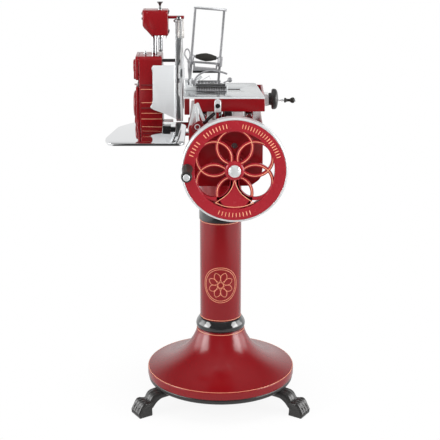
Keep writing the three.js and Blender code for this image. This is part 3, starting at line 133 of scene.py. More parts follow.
class SlicerPedestal(bpy.types.PropertyGroup):
    """Sizes on the pedestal."""
    wall: length("Wall", "Wall of the hollow castings", 8)
    edge: length("Edge", "Rounding of the painted rims", 5)
    line: length("Line width", "Width of the pinstripes", 2.0)
    ornament_width: length("Ornament width", "Width of the oval on the column", 130)
    ornament_height: length("Ornament height", "Height of the oval on the column", 136)
    ornament_line: length("Ornament line", "Width of the ornament's lines", 2.0)
    petals: count("Ornament petals", "Petals of the rosette in the oval", 8)


class SlicerPaws(bpy.types.PropertyGroup):
    """Sizes of the cast feet."""
    toes: count("Toes", "Toes of each foot", 4)
    toe: length("Toe", "Radius of a toe ridge", 9.5)
    leg: length("Leg", "Radius of the leg's roll", 17)
    grain: length("Grain", "Finest detail of the sculpted surface", 2.0)


class SlicerWheel(bpy.types.PropertyGroup):
    """Sizes on the flywheel."""
    petals: count("Petals", "Round petals of the spokes", 6)
    petal: length("Petal radius", "Radius of a petal's middle", 60.5)
    petal_offset: length("Petal offset", "From the hub to a petal's centre", 81.5)
    band: length("Band", "Width of a petal's band", 11)
    thickness: length("Thickness", "Depth of the petals", 16)
    recess: length("Recess", "From the ring's face back to the petals", 5)
    ring_inside: length("Ring inside", "Inner radius of the ring", 138)
    ring_depth: length("Ring depth", "Depth of the ring", 36)
    hub: length("Hub", "Radius of the hub", 34)
    line: length("Line width", "Width of the pinstripes", 2.6)
    bead: length("Bead", "Half length of a border stroke", 7.5)
    stroke: length("Stroke", "Width of a border stroke", 4)
    border: length("Border radius", "Radius of the border's middle", 158)


class SlicerKnife(bpy.types.PropertyGroup):
    """Sizes on the knife side."""
    edge: length("Edge", "Rounding of the castings", 5)
    screw: length("Screw", "Radius of the screw heads", 4.5)
    # the housing's dark bands are painted shade, standing for recesses in its front
    shade_band_width: length("Shade band", "Width of the painted shade bands on the housing", 9)
    stripe: length("Stripe", "Width of the housing's pinstripes", 2.6)


class SlicerCarriage(bpy.types.PropertyGroup):
    """Sizes on the carriage and its feed."""
    edge: length("Edge", "Rounding of the castings", 2.5)
    ribs: count("Ribs", "Ribs round the handwheel", 24)
    rib: length("Rib", "Radius of a handwheel rib", 3)
    bolt: length("Bolt", "Radius of a bolt head", 8)


class SlicerHolder(bpy.types.PropertyGroup):
    """Sizes on the meat holder."""
    arm: length("Arm", "Radius of the curved arms", 3.2)
    spikes: count("Spikes", "Spikes on the bar", 9)
    spike: length("Spike", "Length of a spike", 9)


class SlicerStage(bpy.types.PropertyGroup):
    """Floor, lights and camera."""
    floor: length("Floor", "Side of the floor", 16000)
    lens: FloatProperty(name="Lens", description="Focal length in millimetres", default=106.18, unit="CAMERA")
    place: FloatVectorProperty(
        name="Camera", description="Place of the camera", default=(0.0307, -4.5497, 2.0949),
        subtype="TRANSLATION", unit="LENGTH")
    tilt: FloatProperty(
        name="Tilt", description="Turn of the camera", default=math.radians(73), subtype="ANGLE",
        unit="ROTATION")
    key: power("Key light", "Power of each side light", 74)
    fill: power("Fill light", "Power of the light in front", 62)
    top: power("Top light", "Power of the light overhead", 46)
    sky: FloatProperty(name="Sky", description="Strength of the light from all round", default=0.52)


SIZE_GROUPS = {
    "paint": SlicerPaint, "pedestal": SlicerPedestal, "paws": SlicerPaws, "wheel": SlicerWheel,
    "knife": SlicerKnife, "carriage": SlicerCarriage, "holder": SlicerHolder, "stage": SlicerStage,
}


def sizes(group):
    """The scene's values of one group of sizes."""
    return getattr(bpy.context.scene, "slicer_" + group)


class Place:
    """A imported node's box at rest, read by shares of its sides."""

    def __init__(self, node):
        self.low, self.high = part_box(node)
        self.size = self.high - self.low
        self.mid = (self.low + self.high) / 2

    def at(self, x, y, z):
        return Vector(low + side * share for low, side, share in zip(self.low, self.size, (x, y, z)))


def body_with(node_name):
    """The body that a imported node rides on."""
    return body_of(frame["nodes"][node_name])[0]


# Finishes

FINISHES = {
    # colour, second colour, roughness, spread, grain, relief, stretch, metallic, coat, gloss, slot
    "red enamel": ("red", "dark_red_and_shade", 0.22, 0.05, 9, 0.03, (1, 1, 1), 0, 0.55, 0.25, "red_paint"),
    "wheel enamel": ("bright_red", "red", 0.26, 0.05, 9, 0.03, (1, 1, 1), 0, 0.4, 0.25, "red_paint"),
    # dark red: the carriage's end strip and the lever's capsule, and the painted shade of the housing's bands
    "deep red": ("dark_red_and_shade", "dark_red_and_shade", 0.32, 0.06, 9, 0.03, (1, 1, 1), 0, 0.4, 0.25, "red_paint"),
    # line enamel also paints the highlight along the bell's rim
    "line enamel": ("line", "line", 0.34, 0.05, 30, 0.02, (1, 1, 1), 0, 0.3, 0.3, "red_paint"),
    "black enamel": ("black", "iron", 0.10, 0.04, 12, 0.03, (1, 1, 1), 0, 1.0, 0.6, "black_paint"),
    "black iron": ("iron", "black", 0.30, 0.12, 55, 0.30, (1, 1, 1), 0, 0.5, 0.4, "cast_iron"),
    "black grip": ("grip", "iron", 0.46, 0.08, 40, 0.05, (1, 1, 1), 0, 0.1, 0.3, "black_plastic"),
    "satin chrome": ("plate", "chrome", 0.22, 0.06, 14, 0.02, (1, 1, 1), 0.45, 0.3, 0.5, "chrome"),
    "bright steel": ("steel", "plate", 0.14, 0.05, 20, 0.02, (1, 1, 40), 1, 0, 0.5, "chrome"),
    "brushed steel": ("rod", "steel", 0.36, 0.08, 20, 0.04, (1, 1, 40), 0.4, 0, 0.5, "chrome"),
    "aluminium": ("plate", "plate", 0.24, 0.08, 6, 0.03, (1, 60, 1), 1, 0, 0.5, "polished_aluminium"),
    "mirror": ("chrome", "plate", 0.05, 0.03, 6, 0.01, (1, 30, 1), 1, 0, 0.5, "polished_aluminium"),
    "satin plate": ("plate", "steel", 0.38, 0.06, 8, 0.05, (1, 1, 40), 0.25, 0, 0.5, "polished_aluminium"),
    "ground steel": ("steel", "plate", 0.22, 0.08, 10, 0.04, (40, 1, 1), 1, 0, 0.5, "steel"),
    "bronze": ("bronze", "bronze", 0.28, 0.08, 20, 0.04, (1, 1, 1), 1, 0, 0.5, "bronze"),
    "stone": ("stone", "plate", 0.80, 0.08, 300, 0.50, (1, 1, 1), 0, 0, 0.3, "abrasive_stone"),
}
# the fine and the broad noise: scale beside the finish's grain, and detail
NOISES = ((8, 6), (1, 3))
# how much of the second colour shows where the noise is strongest
SECOND_SHARE = 0.25
RELIEF_DEPTH = MM


def opaque(value):
    """A colour with its alpha."""
    return (*value, 1.0)


def fill(tree, made, **values):
    """Sets a node's inputs, or links them where a value is an output."""
    for label, value in values.items():
        target = made.inputs[label.replace("_", " ")]
        if isinstance(value, bpy.types.NodeSocket):
            tree.links.new(value, target)
        else:
            target.default_value = value
    return made


def node(tree, kind, **values):
    """A new node with its inputs filled."""
    return fill(tree, tree.nodes.new(kind), **values)


def math_node(tree, operation, *values):
    """The result of a Math node on values or outputs."""
    made = tree.nodes.new("ShaderNodeMath")
    made.operation = operation
    for socket, value in zip(made.inputs, values):
        if isinstance(value, bpy.types.NodeSocket):
            tree.links.new(value, socket)
        else:
            socket.default_value = value
    return made.outputs[0]


def finish(name):
    """The procedural material of one finish."""
    known = bpy.data.materials.get(name)
    if known:
        return known
    first, second, rough, spread, grain, relief, stretch, metallic, coat, shine, _slot = FINISHES[name]
    main, other = getattr(sizes("paint"), first), getattr(sizes("paint"), second)
    material = bpy.data.materials.new(name)
    material.use_nodes = True
    tree = material.node_tree
    coords = node(tree, "ShaderNodeTexCoord")
    mapping = node(tree, "ShaderNodeMapping", Vector=coords.outputs["Object"], Scale=stretch)
    noises = [
        node(tree, "ShaderNodeTexNoise", Vector=mapping.outputs["Vector"], Scale=grain * scale, Detail=detail)
        for scale, detail in NOISES]
    fine, broad = (noise.outputs["Fac"] for noise in noises)
    shade = node(tree, "ShaderNodeMix")
    shade.data_type = "RGBA"
    tree.links.new(broad, shade.inputs[0])
    shade.inputs[6].default_value = opaque(main)
    shade.inputs[7].default_value = opaque(a + (b - a) * SECOND_SHARE for a, b in zip(main, other))
    gloss = node(tree, "ShaderNodeMapRange", Value=fine, To_Min=max(rough - spread, 0.01),
                 To_Max=rough + spread)
    bump = node(tree, "ShaderNodeBump", Height=fine, Strength=relief, Distance=RELIEF_DEPTH)
    fill(tree, tree.nodes["Principled BSDF"], Base_Color=shade.outputs[2], Roughness=gloss.outputs["Result"],
         Normal=bump.outputs["Normal"], Metallic=metallic, Coat_Weight=coat, Specular_IOR_Level=shine,
         Coat_Roughness=min(rough * rough * 4, 1))
    return material


# Shapes

def soften(points, radius, steps=SOFT_STEPS, closed=False):
    """Rounds the corners of a flat line of points."""
    points = [Vector(p) for p in points]
    result = []
    for i, corner in enumerate(points):
        if not closed and i in (0, len(points) - 1):
            result.append(corner)
            continue
        back, on = points[i - 1] - corner, points[(i + 1) % len(points)] - corner
        reach = min(radius, back.length / 2, on.length / 2)
        if reach <= MERGE_DISTANCE or back.angle(on) > math.pi - SHARP_ANGLE / 3:
            result.append(corner)
            continue
        start, end = corner + back.normalized() * reach, corner + on.normalized() * reach
        for k in range(steps + 1):
            t = k / steps
            result.append(start * (1 - t) ** 2 + corner * 2 * t * (1 - t) + end * t * t)
    return result


def bezier(ends, steps):
    """Points on a cubic curve with four control points."""
    a, b, c, d = (Vector(p) for p in ends)
    for k in range(steps + 1):
        t = k / steps
        yield a * (1 - t) ** 3 + b * 3 * t * (1 - t) ** 2 + c * 3 * t * t * (1 - t) + d * t ** 3


def spline(points, steps=8):
    """A smooth line through points in space."""
    points = [Vector(p) for p in points]
    ends = [points[0] * 2 - points[1], *points, points[-1] * 2 - points[-2]]
    for i in range(1, len(ends) - 2):
        p, q, r, s = ends[i - 1:i + 3]
        for k in range(steps):
            t = k / steps
            yield 0.5 * (q * 2 + (r - p) * t + (p * 2 - q * 5 + r * 4 - s) * t * t
                         + (q * 3 - p - r * 3 + s) * t ** 3)
    yield points[-1]


def even_turns(steps):
    """Angles in even steps round a circle."""
    return [math.tau * k / steps for k in range(steps)]


def join_rings(bm, rings, closed=False):
    """Faces between rings of vertices; a ring of one vertex is a pole."""
    following = rings[1:] + rings[:1] if closed else rings[1:]
    for a, b in zip(rings, following):
        steps = max(len(a), len(b))
        for k in range(steps):
            n = (k + 1) % steps
            corners = [a[k % len(a)], a[n % len(a)], b[n % len(b)], b[k % len(b)]]
            face = list(dict.fromkeys(corners))
            if len(face) > 2:
                bm.faces.new(face)


def lathe(bm, origin, axis, profile, steps=TURN_STEPS, closed=False):
    """A turned shape from pairs of radius and distance along the axis."""
    axis = Vector(axis).normalized()
    side = axis.orthogonal().normalized()
    other = axis.cross(side)
    rings = []
    for radius, along in profile:
        base = Vector(origin) + axis * along
        turns = even_turns(steps) if radius > MERGE_DISTANCE else [0]
        rings.append([
            bm.verts.new(base + (side * math.cos(a) + other * math.sin(a)) * radius) for a in turns])
    join_rings(bm, rings, closed)


def sweep(bm, path, radius, steps=TUBE_STEPS, closed=False, flat=1.0):
    """A tube along a path; radius is one size or one for each point."""
    path = [Vector(p) for p in path]
    last = len(path) - 1
    radii = radius if isinstance(radius, (list, tuple)) else [radius] * len(path)
    side, rings = None, []
    for i, point in enumerate(path):
        ahead = path[(i + 1) % len(path)] if closed or i < last else point
        behind = path[i - 1] if closed or i else point
        along = (ahead - behind).normalized()
        side = along.orthogonal() if side is None else side - along * side.dot(along)
        side.normalize()
        other = along.cross(side) * flat
        rings.append([
            bm.verts.new(point + (side * math.cos(a) + other * math.sin(a)) * radii[i])
            for a in even_turns(steps)])
    join_rings(bm, rings, closed)
    if not closed:
        bm.faces.new(rings[0][::-1])
        bm.faces.new(rings[-1])


def slab(bm, outline, low, high, to_space, edge=0.0):
    """A plate from its outline; to_space turns (u, v, height) into a place."""
    rings = [[bm.verts.new(to_space(u, v, w)) for u, v in outline] for w in (low, high)]
    join_rings(bm, rings)
    caps = [bm.faces.new(rings[0][::-1]), bm.faces.new(rings[1])]
    if edge:
        rims = list({e for cap in caps for e in cap.edges})
        bmesh.ops.bevel(bm, geom=rims, offset=edge, **BEVEL)


def block(bm, low, high, edge):
    """A block with rounded edges."""
    low, high = Vector(low), Vector(high)
    matrix = Matrix.Translation((low + high) / 2) @ Matrix.Diagonal((*(high - low), 1))
    made = bmesh.ops.create_cube(bm, size=1, matrix=matrix)
    edges = list({e for v in made["verts"] for e in v.link_edges})
    bmesh.ops.bevel(bm, geom=edges, offset=edge, **BEVEL)


def ball(bm, centre, radii, steps=24):
    """An egg shape."""
    matrix = Matrix.Translation(centre) @ Matrix.Diagonal((*radii, 1))
    bmesh.ops.create_uvsphere(bm, u_segments=steps, v_segments=steps // 2, radius=1, matrix=matrix)


def dressed(name, mesh, finish_name, body, nodes=()):
    """Links a mesh as a finished piece that rides on a body and stands for nodes."""
    piece = bpy.data.objects.new(name, mesh)
    bpy.context.scene.collection.objects.link(piece)
    mesh.materials.clear()
    mesh.materials.append(finish(finish_name))
    mesh.shade_smooth()
    mesh.set_sharp_from_angle(angle=SHARP_ANGLE)
    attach(piece, body)
    if nodes:
        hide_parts(*nodes)
    return piece


def piece(name, bm, finish_name, body, nodes=()):
    """A finished piece from mesh code."""
    bmesh.ops.recalc_face_normals(bm, faces=bm.faces)
    mesh = bpy.data.meshes.new(name)
    bm.to_mesh(mesh)
    bm.free()
    return dressed(name, mesh, finish_name, body, nodes)


def upright(u, v, w):
    """A slab's place with its outline in X and Z."""
    return Vector((u, w, v))


def bar_outline(first, last, width, soft):
    """The outline, in X and Z, of a bar between two places."""
    across = Y_AXIS.cross((last - first).normalized()) * width / 2
    corners = (first - across, first + across, last + across, last - across)
    return soften([(p.x, p.z) for p in corners], soft, closed=True)


def one_shape(name, finish_name, body, shape, *sides, **options):
    """A finished piece of one block, lathe, sweep or slab."""
    bm = bmesh.new()
    shape(bm, *sides, **options)
    return piece(name, bm, finish_name, body)


def refined(name, node_name, finish_name, edge=0.0):
    """A node's own shape with merged faces and rounded edges."""
    bm = bmesh.new()
    bm.from_mesh(frame["nodes"][node_name].data)
    bmesh.ops.remove_doubles(bm, verts=bm.verts, dist=MERGE_DISTANCE)
    mesh = bpy.data.meshes.new(name)
    bm.to_mesh(mesh)
    bm.free()
    made = dressed(name, mesh, finish_name, body_with(node_name), [node_name])
    if edge:
        rounding = made.modifiers.new("Rounded edges", "BEVEL")
        rounding.width = edge
        rounding.segments = 3
        rounding.limit_method = "ANGLE"
        rounding.angle_limit = SHARP_ANGLE
        rounding.use_clamp_overlap = False
        rounding.miter_outer = "MITER_ARC"
    return made


def split_off(made, name, finish_name, axis, level):
    """The part of a piece past a level along an axis becomes a piece of its own."""
    bm, other = bmesh.new(), bmesh.new()
    for target, past in ((bm, True), (other, False)):
        target.from_mesh(made.data)
        gone = [f for f in target.faces if (min(v.co.dot(axis) for v in f.verts) > level) == past]
        bmesh.ops.delete(target, geom=gone, context="FACES")
    bm.to_mesh(made.data)
    bm.free()
    mesh = bpy.data.meshes.new(name)
    other.to_mesh(mesh)
    other.free()
    made.data.set_sharp_from_angle(angle=SHARP_ANGLE)
    return dressed(name, mesh, finish_name, body_of(made)[0])


def refine_all(rows):
    """Refines rows of piece name, node, finish and edge."""
    for row in rows:
        refined(*row)


def polish_node(node_name, finish_name):
    """A node that keeps its own mesh gets a finish."""
    data = frame["nodes"][node_name].data
    data.materials.clear()
    data.materials.append(finish(finish_name))


def line_ring(bm, centre, axis, radius, width, steps=TURN_STEPS):
    """A thin raised line round an axis."""
    circle = [(radius + math.cos(a) * width / 2, math.sin(a) * width / 2) for a in even_turns(8)]
    lathe(bm, centre, axis, circle, steps, closed=True)


# Geometry Nodes

# a head's top and its washer, as shares of the head's radius and height
HEAD_TOP_SHARE = 0.86
WASHER_SHARES = (1.3, 0.5)


def new_tree(name, inputs, points=False):
    """An empty tree with named inputs, and the group's input sockets."""
    tree = bpy.data.node_groups.new(name, "GeometryNodeTree")
    tree.interface.new_socket("Geometry", in_out="OUTPUT", socket_type="NodeSocketGeometry")
    if points:
        tree.interface.new_socket("Geometry", in_out="INPUT", socket_type="NodeSocketGeometry")
    for label, kind in (*inputs, ("Material", "Material")):
        tree.interface.new_socket(label, in_out="INPUT", socket_type="NodeSocket" + kind)
    return tree, tree.nodes.new("NodeGroupInput").outputs


def end_tree(tree, given, geometry):
    """Every tree ends in Realize Instances and Set Material."""
    real = node(tree, "GeometryNodeRealizeInstances", Geometry=geometry)
    coat = node(tree, "GeometryNodeSetMaterial", Geometry=real.outputs[0], Material=given["Material"])
    tree.links.new(coat.outputs[0], tree.nodes.new("NodeGroupOutput").inputs[0])
    return tree


def beads_tree():
    """Beads set round a ring, each turned to face outwards."""
    tree, given = new_tree("Beads round a ring", (
        ("Count", "Int"), ("Ring Radius", "Float"), ("Bead Size", "Vector")))
    ring = node(tree, "GeometryNodeMeshCircle", Vertices=given["Count"], Radius=given["Ring Radius"])
    bead = node(tree, "GeometryNodeMeshUVSphere", Segments=8, Rings=6, Radius=1)
    place = node(tree, "GeometryNodeInputPosition")
    turn = node(tree, "FunctionNodeAlignRotationToVector", Vector=place.outputs[0])
    turn.axis = "X"
    beads = node(tree, "GeometryNodeInstanceOnPoints", Points=ring.outputs[0], Instance=bead.outputs["Mesh"],
                 Rotation=turn.outputs[0], Scale=given["Bead Size"])
    return end_tree(tree, given, beads.outputs[0])


def loops_tree():
    """Flat round bands set round a ring."""
    tree, given = new_tree("Bands round a ring", (
        ("Count", "Int"), ("Ring Radius", "Float"), ("Loop Radius", "Float"), ("Band Width", "Float"),
        ("Band Depth", "Float"), ("Rounding", "Float")))
    ring = node(tree, "GeometryNodeMeshCircle", Vertices=given["Count"], Radius=given["Ring Radius"])
    loop = node(tree, "GeometryNodeCurvePrimitiveCircle", Resolution=TURN_STEPS, Radius=given["Loop Radius"])
    section = node(tree, "GeometryNodeCurvePrimitiveQuadrilateral",
                   Width=given["Band Width"], Height=given["Band Depth"])
    rounded = node(tree, "GeometryNodeFilletCurve", Curve=section.outputs[0], Radius=given["Rounding"])
    rounded.mode = "POLY"
    fill(tree, rounded, Count=3)
    band = node(tree, "GeometryNodeCurveToMesh", Curve=loop.outputs[0], Profile_Curve=rounded.outputs[0])
    bands = node(tree, "GeometryNodeInstanceOnPoints", Points=ring.outputs[0], Instance=band.outputs[0])
    return end_tree(tree, given, bands.outputs[0])


def heads_tree():
    """Fastener heads on points, each along the point's facing."""
    tree, given = new_tree("Heads on points", (
        ("Head Radius", "Float"), ("Head Height", "Float"), ("Sides", "Int")), points=True)
    radius, height = given["Head Radius"], given["Head Height"]
    head = node(tree, "GeometryNodeMeshCone", Vertices=given["Sides"], Depth=height, Radius_Bottom=radius,
                Radius_Top=math_node(tree, "MULTIPLY", radius, HEAD_TOP_SHARE))
    wide, thick = (math_node(tree, "MULTIPLY", *pair) for pair in zip((radius, height), WASHER_SHARES))
    washer = node(tree, "GeometryNodeMeshCylinder", Vertices=28, Depth=thick, Radius=wide)
    both = node(tree, "GeometryNodeJoinGeometry")
    for made in (head, washer):
        tree.links.new(made.outputs["Mesh"], both.inputs[0])
    facing = node(tree, "GeometryNodeInputNamedAttribute", Name="facing")
    facing.data_type = "FLOAT_VECTOR"
    turn = node(tree, "FunctionNodeAlignRotationToVector", Vector=facing.outputs[0])
    turn.axis = "Z"
    heads = node(tree, "GeometryNodeInstanceOnPoints", Points=given["Geometry"],
                 Instance=both.outputs[0], Rotation=turn.outputs[0])
    return end_tree(tree, given, heads.outputs[0])


def row_tree():
    """Cones in a straight row."""
    tree, given = new_tree("Cones in a row", (
        ("Count", "Int"), ("Step", "Vector"), ("Cone Radius", "Float"), ("Cone Height", "Float")))
    row = node(tree, "GeometryNodeMeshLine", Count=given["Count"], Offset=given["Step"])
    cone = node(tree, "GeometryNodeMeshCone", Vertices=10, Depth=given["Cone Height"],
                Radius_Top=0, Radius_Bottom=given["Cone Radius"])
    cones = node(tree, "GeometryNodeInstanceOnPoints", Points=row.outputs[0], Instance=cone.outputs["Mesh"])
    return end_tree(tree, given, cones.outputs[0])


TREES = {}


def carried(name, mesh):
    """A passing object that carries modifiers while a piece is made."""
    carrier = bpy.data.objects.new(name + "_carrier", mesh)
    bpy.context.scene.collection.objects.link(carrier)
    return carrier


def made_plain(carrier, name):
    """The carrier's evaluated mesh as a plain one; the carrier and its modifiers go."""
    bpy.context.view_layer.update()
    plain = bpy.data.meshes.new_from_object(carrier.evaluated_get(bpy.context.evaluated_depsgraph_get()))
    carrier.modifiers.clear()
    bpy.data.objects.remove(carrier)
    if not plain.polygons:
        raise RuntimeError(f"{name}: no faces were made")
    plain.name = name
    return plain


def grown(name, maker, values, finish_name, body, matrix=None, points=()):
    """A plain piece from a tree: points are pairs of place and facing."""
    tree = TREES.get(maker) or TREES.setdefault(maker, maker())
    mesh = bpy.data.meshes.new(name + "_points")
    mesh.from_pydata([tuple(place) for place, _facing in points], [], [])
    facing = mesh.attributes.new("facing", "FLOAT_VECTOR", "POINT")
    for item, (_place, direction) in zip(facing.data, points):
        item.vector = direction
    carrier = carried(name, mesh)
    modifier = carrier.modifiers.new("Growth", "NODES")
    modifier.node_group = tree
    values = {**values, "Material": finish(finish_name)}
    for item in tree.interface.items_tree:
        if item.in_out == "INPUT" and item.name in values:
            modifier[item.identifier] = values[item.name]
    plain = made_plain(carrier, name)
    if matrix:
        plain.transform(matrix)
    return dressed(name, plain, finish_name, body)


def bolts(name, points, radius, finish_name, body, sides=6, height_share=0.7):
    """Fastener heads with washers at points."""
    values = {"Head Radius": radius, "Head Height": radius * height_share, "Sides": sides}
    return grown(name, heads_tree, values, finish_name, body, points=points)


def turned(name, node_name, axis, shares, finish_name, soft=SMALL_EDGE, closed=False):
    """A turned piece in a node's box, from pairs of radius share and share along the axis."""
    place = Place(node_name)
    axis = Vector(axis)
    span = abs(place.size.dot(axis))
    across = max(place.size - Vector(abs(a) * s for a, s in zip(axis, place.size))) / 2
    profile = soften([(r * across, t * span) for r, t in shares], soft, closed=closed)
    bm = bmesh.new()
    lathe(bm, place.mid - axis * span / 2, axis, profile, closed=closed)
    return piece(name, bm, finish_name, body_with(node_name), [node_name])


# Pedestal

BELL_SHARES = ((0.3164, 1), (0.3796, 0.582), (0.62, 0.264), (1, 0.163))
LOWER_RING_SHARES = (
    (0.8, 0), (0.95, 0), (0.985, 0.12), (1, 0.38), (0.965, 0.62), (0.87, 0.94), (0.84, 1), (0.8, 1))
BASE_RING_SHARES = ((0.85, 0), (0.985, 0), (1, 0.3), (1, 1), (0.85, 1))
UPPER_RING_SHARES = ((0.97, 0), (1, 0), (1, 1), (0.97, 1))
# the ornament's height on the column, and its ovals' sizes
ORNAMENT_LEVEL_SHARE, OVAL_SHARES = 0.265, (1, 0.9, 0.16)
# one petal's half, along the oval's radius and across it
ROSETTE_SHARES = ((0.16, 0), (0.34, 0.3), (0.52, 0.36), (0.66, 0.22), (0.74, 0))


def column_axis():
    """The column's middle, seen from above."""
    return Place("pedestal_column").mid.xy


def bell():
    """The bell-shaped red base, hollow below."""
    own, place = sizes("pedestal"), Place("pedestal_base")
    rim, height = place.size.x / 2, place.size.z
    curve = list(bezier([(r * rim, z * height) for r, z in BELL_SHARES], TURN_STEPS // 2))
    inner = [Vector((max(p.x - own.wall, 0), max(p.y - own.wall, 0))) for p in curve]
    inner[0].y = height
    line = curve + [Vector((rim, 0)), Vector((rim - own.wall, 0))] + inner[::-1]
    bm = bmesh.new()
    lathe(bm, (*column_axis(), place.low.z), Z_AXIS, soften(line, own.edge, closed=True), TURN_STEPS * 2,
          closed=True)
    piece("bell_base", bm, "red enamel", "stand", ["pedestal_base"])


def pedestal_lines():
    """Pinstripes round the bell's neck and the column, and a painted highlight along the bell's rim."""
    own, axis, base = sizes("pedestal"), column_axis(), Place("pedestal_base")
    low_ring, high_ring = Place("column_lower_ring"), Place("column_upper_ring")
    column = Place("pedestal_column").size.x / 2
    neck = base.size.x / 2 * BELL_SHARES[0][0]
    rim_top = base.low.z + base.size.z * BELL_SHARES[3][1]
    bm = bmesh.new()
    for radius, level in (
        # the first ring, on the rim's top edge, is a painted highlight; the others are pinstripes
        (base.size.x / 2 - own.edge / 2, rim_top), (neck + own.line, base.high.z - own.line * 3),
        (column, low_ring.high.z + own.line * 2), (column, high_ring.low.z - own.line * 2),
        (column, high_ring.high.z + own.line * 2),
    ):
        line_ring(bm, (*axis, level), Z_AXIS, radius, own.line, TURN_STEPS * 2)
    piece("pedestal_lines", bm, "line enamel", "stand")


def on_column(u, v, level, radius):
    """A place on the column's front from a width along it and a height."""
    axis = column_axis()
    turn = u / radius
    return Vector((axis.x + math.sin(turn) * radius, axis.y - math.cos(turn) * radius, level + v))


def oval(width, height, steps=64):
    """An oval's outline."""
    return [Vector((math.cos(a) * width / 2, math.sin(a) * height / 2)) for a in even_turns(steps)]


def column_ornament():
    """A plain oval with a rosette on the column's front."""
    own, column = sizes("pedestal"), Place("pedestal_column")
    radius, level = column.size.x / 2, column.at(0, 0, ORNAMENT_LEVEL_SHARE).z
    wide, tall = own.ornament_width, own.ornament_height
    loops = [oval(wide * share, tall * share) for share in OVAL_SHARES]
    side = (*ROSETTE_SHARES, *((r, -w) for r, w in ROSETTE_SHARES[-2:0:-1]))
    for k in range(own.petals):
        turn = math.tau * (k + 0.5) / own.petals
        loops.append([Vector(((math.cos(turn) * r - math.sin(turn) * w / 2) * wide / 2,
                              (math.sin(turn) * r + math.cos(turn) * w / 2) * tall / 2)) for r, w in side])
    bm = bmesh.new()
    for loop in loops:
        sweep(bm, [on_column(p.x, p.y, level, radius) for p in loop], own.ornament_line / 2,
              steps=LINE_STEPS, closed=True)
    piece("column_ornament", bm, "line enamel", "stand")


class SLICER_OT_pedestal(bpy.types.Operator):
    """Build the bell base, the column, its rings, lines and ornament"""
    bl_idname = "slicer.pedestal"
    bl_label = "Pedestal"

    def execute(self, context):
        own = sizes("pedestal")
        bell()
        inner = 1 - own.wall * 2 / Place("pedestal_column").size.x
        tube_shares = ((inner, 0), (1, 0), (1, 1), (inner, 1))
        for name, node_name, shares, finish_name, soft in (
            ("column_tube", "pedestal_column", tube_shares, "red enamel", SMALL_EDGE),
            ("black_base_ring", "base_ring", BASE_RING_SHARES, "black iron", own.edge),
            ("bulged_ring", "column_lower_ring", LOWER_RING_SHARES, "black enamel", own.edge * 2),
            ("high_ring", "column_upper_ring", UPPER_RING_SHARES, "black enamel", SMALL_EDGE),
        ):
            turned(name, node_name, Z_AXIS, shares, finish_name, soft, closed=True)
        pedestal_lines()
        column_ornament()
        return {"FINISHED"}


# Feet

PAW_BEARINGS = {"paw_foot_left": 210, "paw_foot_right": -30, "paw_foot_rear": 90}
# lines on the foot: pairs of distance from the column's side and height, as shares of the foot's box
LEG_SHARES = ((0.02, 0.80), (0.20, 0.79), (0.40, 0.76), (0.52, 0.72), (0.60, 0.52), (0.71, 0.36))
TOE_SHARES = ((0.50, 0.66), (0.61, 0.52), (0.72, 0.50), (0.82, 0.50), (0.91, 0.33), (0.965, 0.13))
# how thick a toe is at each of its places: thick at the knuckles, thin between them
TOE_WIDTH_SHARES = (0.7, 0.72, 0.95, 1.22, 0.78, 0.9)
CURL_SHARES = ((0.12, 0.66), (0.06, 0.80), (0.14, 0.90), (0.22, 0.80), (0.17, 0.70))
SIDE_SHARES = ((0.24, 0.74), (0.40, 0.68), (0.53, 0.54), (0.63, 0.34))
SOLE_SHARES = ((0.63, -0.38), (0.985, -0.44), (0.985, 0.44), (0.63, 0.38))
# the sole's levels, and how far it leans in at each
SOLE_LEVEL_SHARES = ((0, 0), (0.10, 0), (0.46, 0.32))
# the leg's three rolls: how far across, and how thick beside the leg's radius
ROLL_SHARES, ROLL_TAPER_SHARE = ((-0.21, 0.9), (0, 1.05), (0.21, 0.9)), 0.2
# how wide the toes stand apart where the foot starts, and how much wider at its end
TOE_SPREAD_SHARES = (0.60, 0.26)
# a toe's tip: along the foot, across beside the toe's own line, up, and how thick beside a toe
TOE_TIP_SHARES = (0.955, 0.87, 0.11, 0.8)
# where the sole leans to along the foot, and how much narrower it gets there
SOLE_LEAN_SHARES = (0.62, 0.3)
# side ridges: how far across, how much higher, how thick beside a toe, and along what line
RIDGE_SHARES = ((0.29, 0, 0.6, CURL_SHARES), (0.31, 0, 0.55, SIDE_SHARES), (0.11, 0.2, 0.42, SIDE_SHARES))


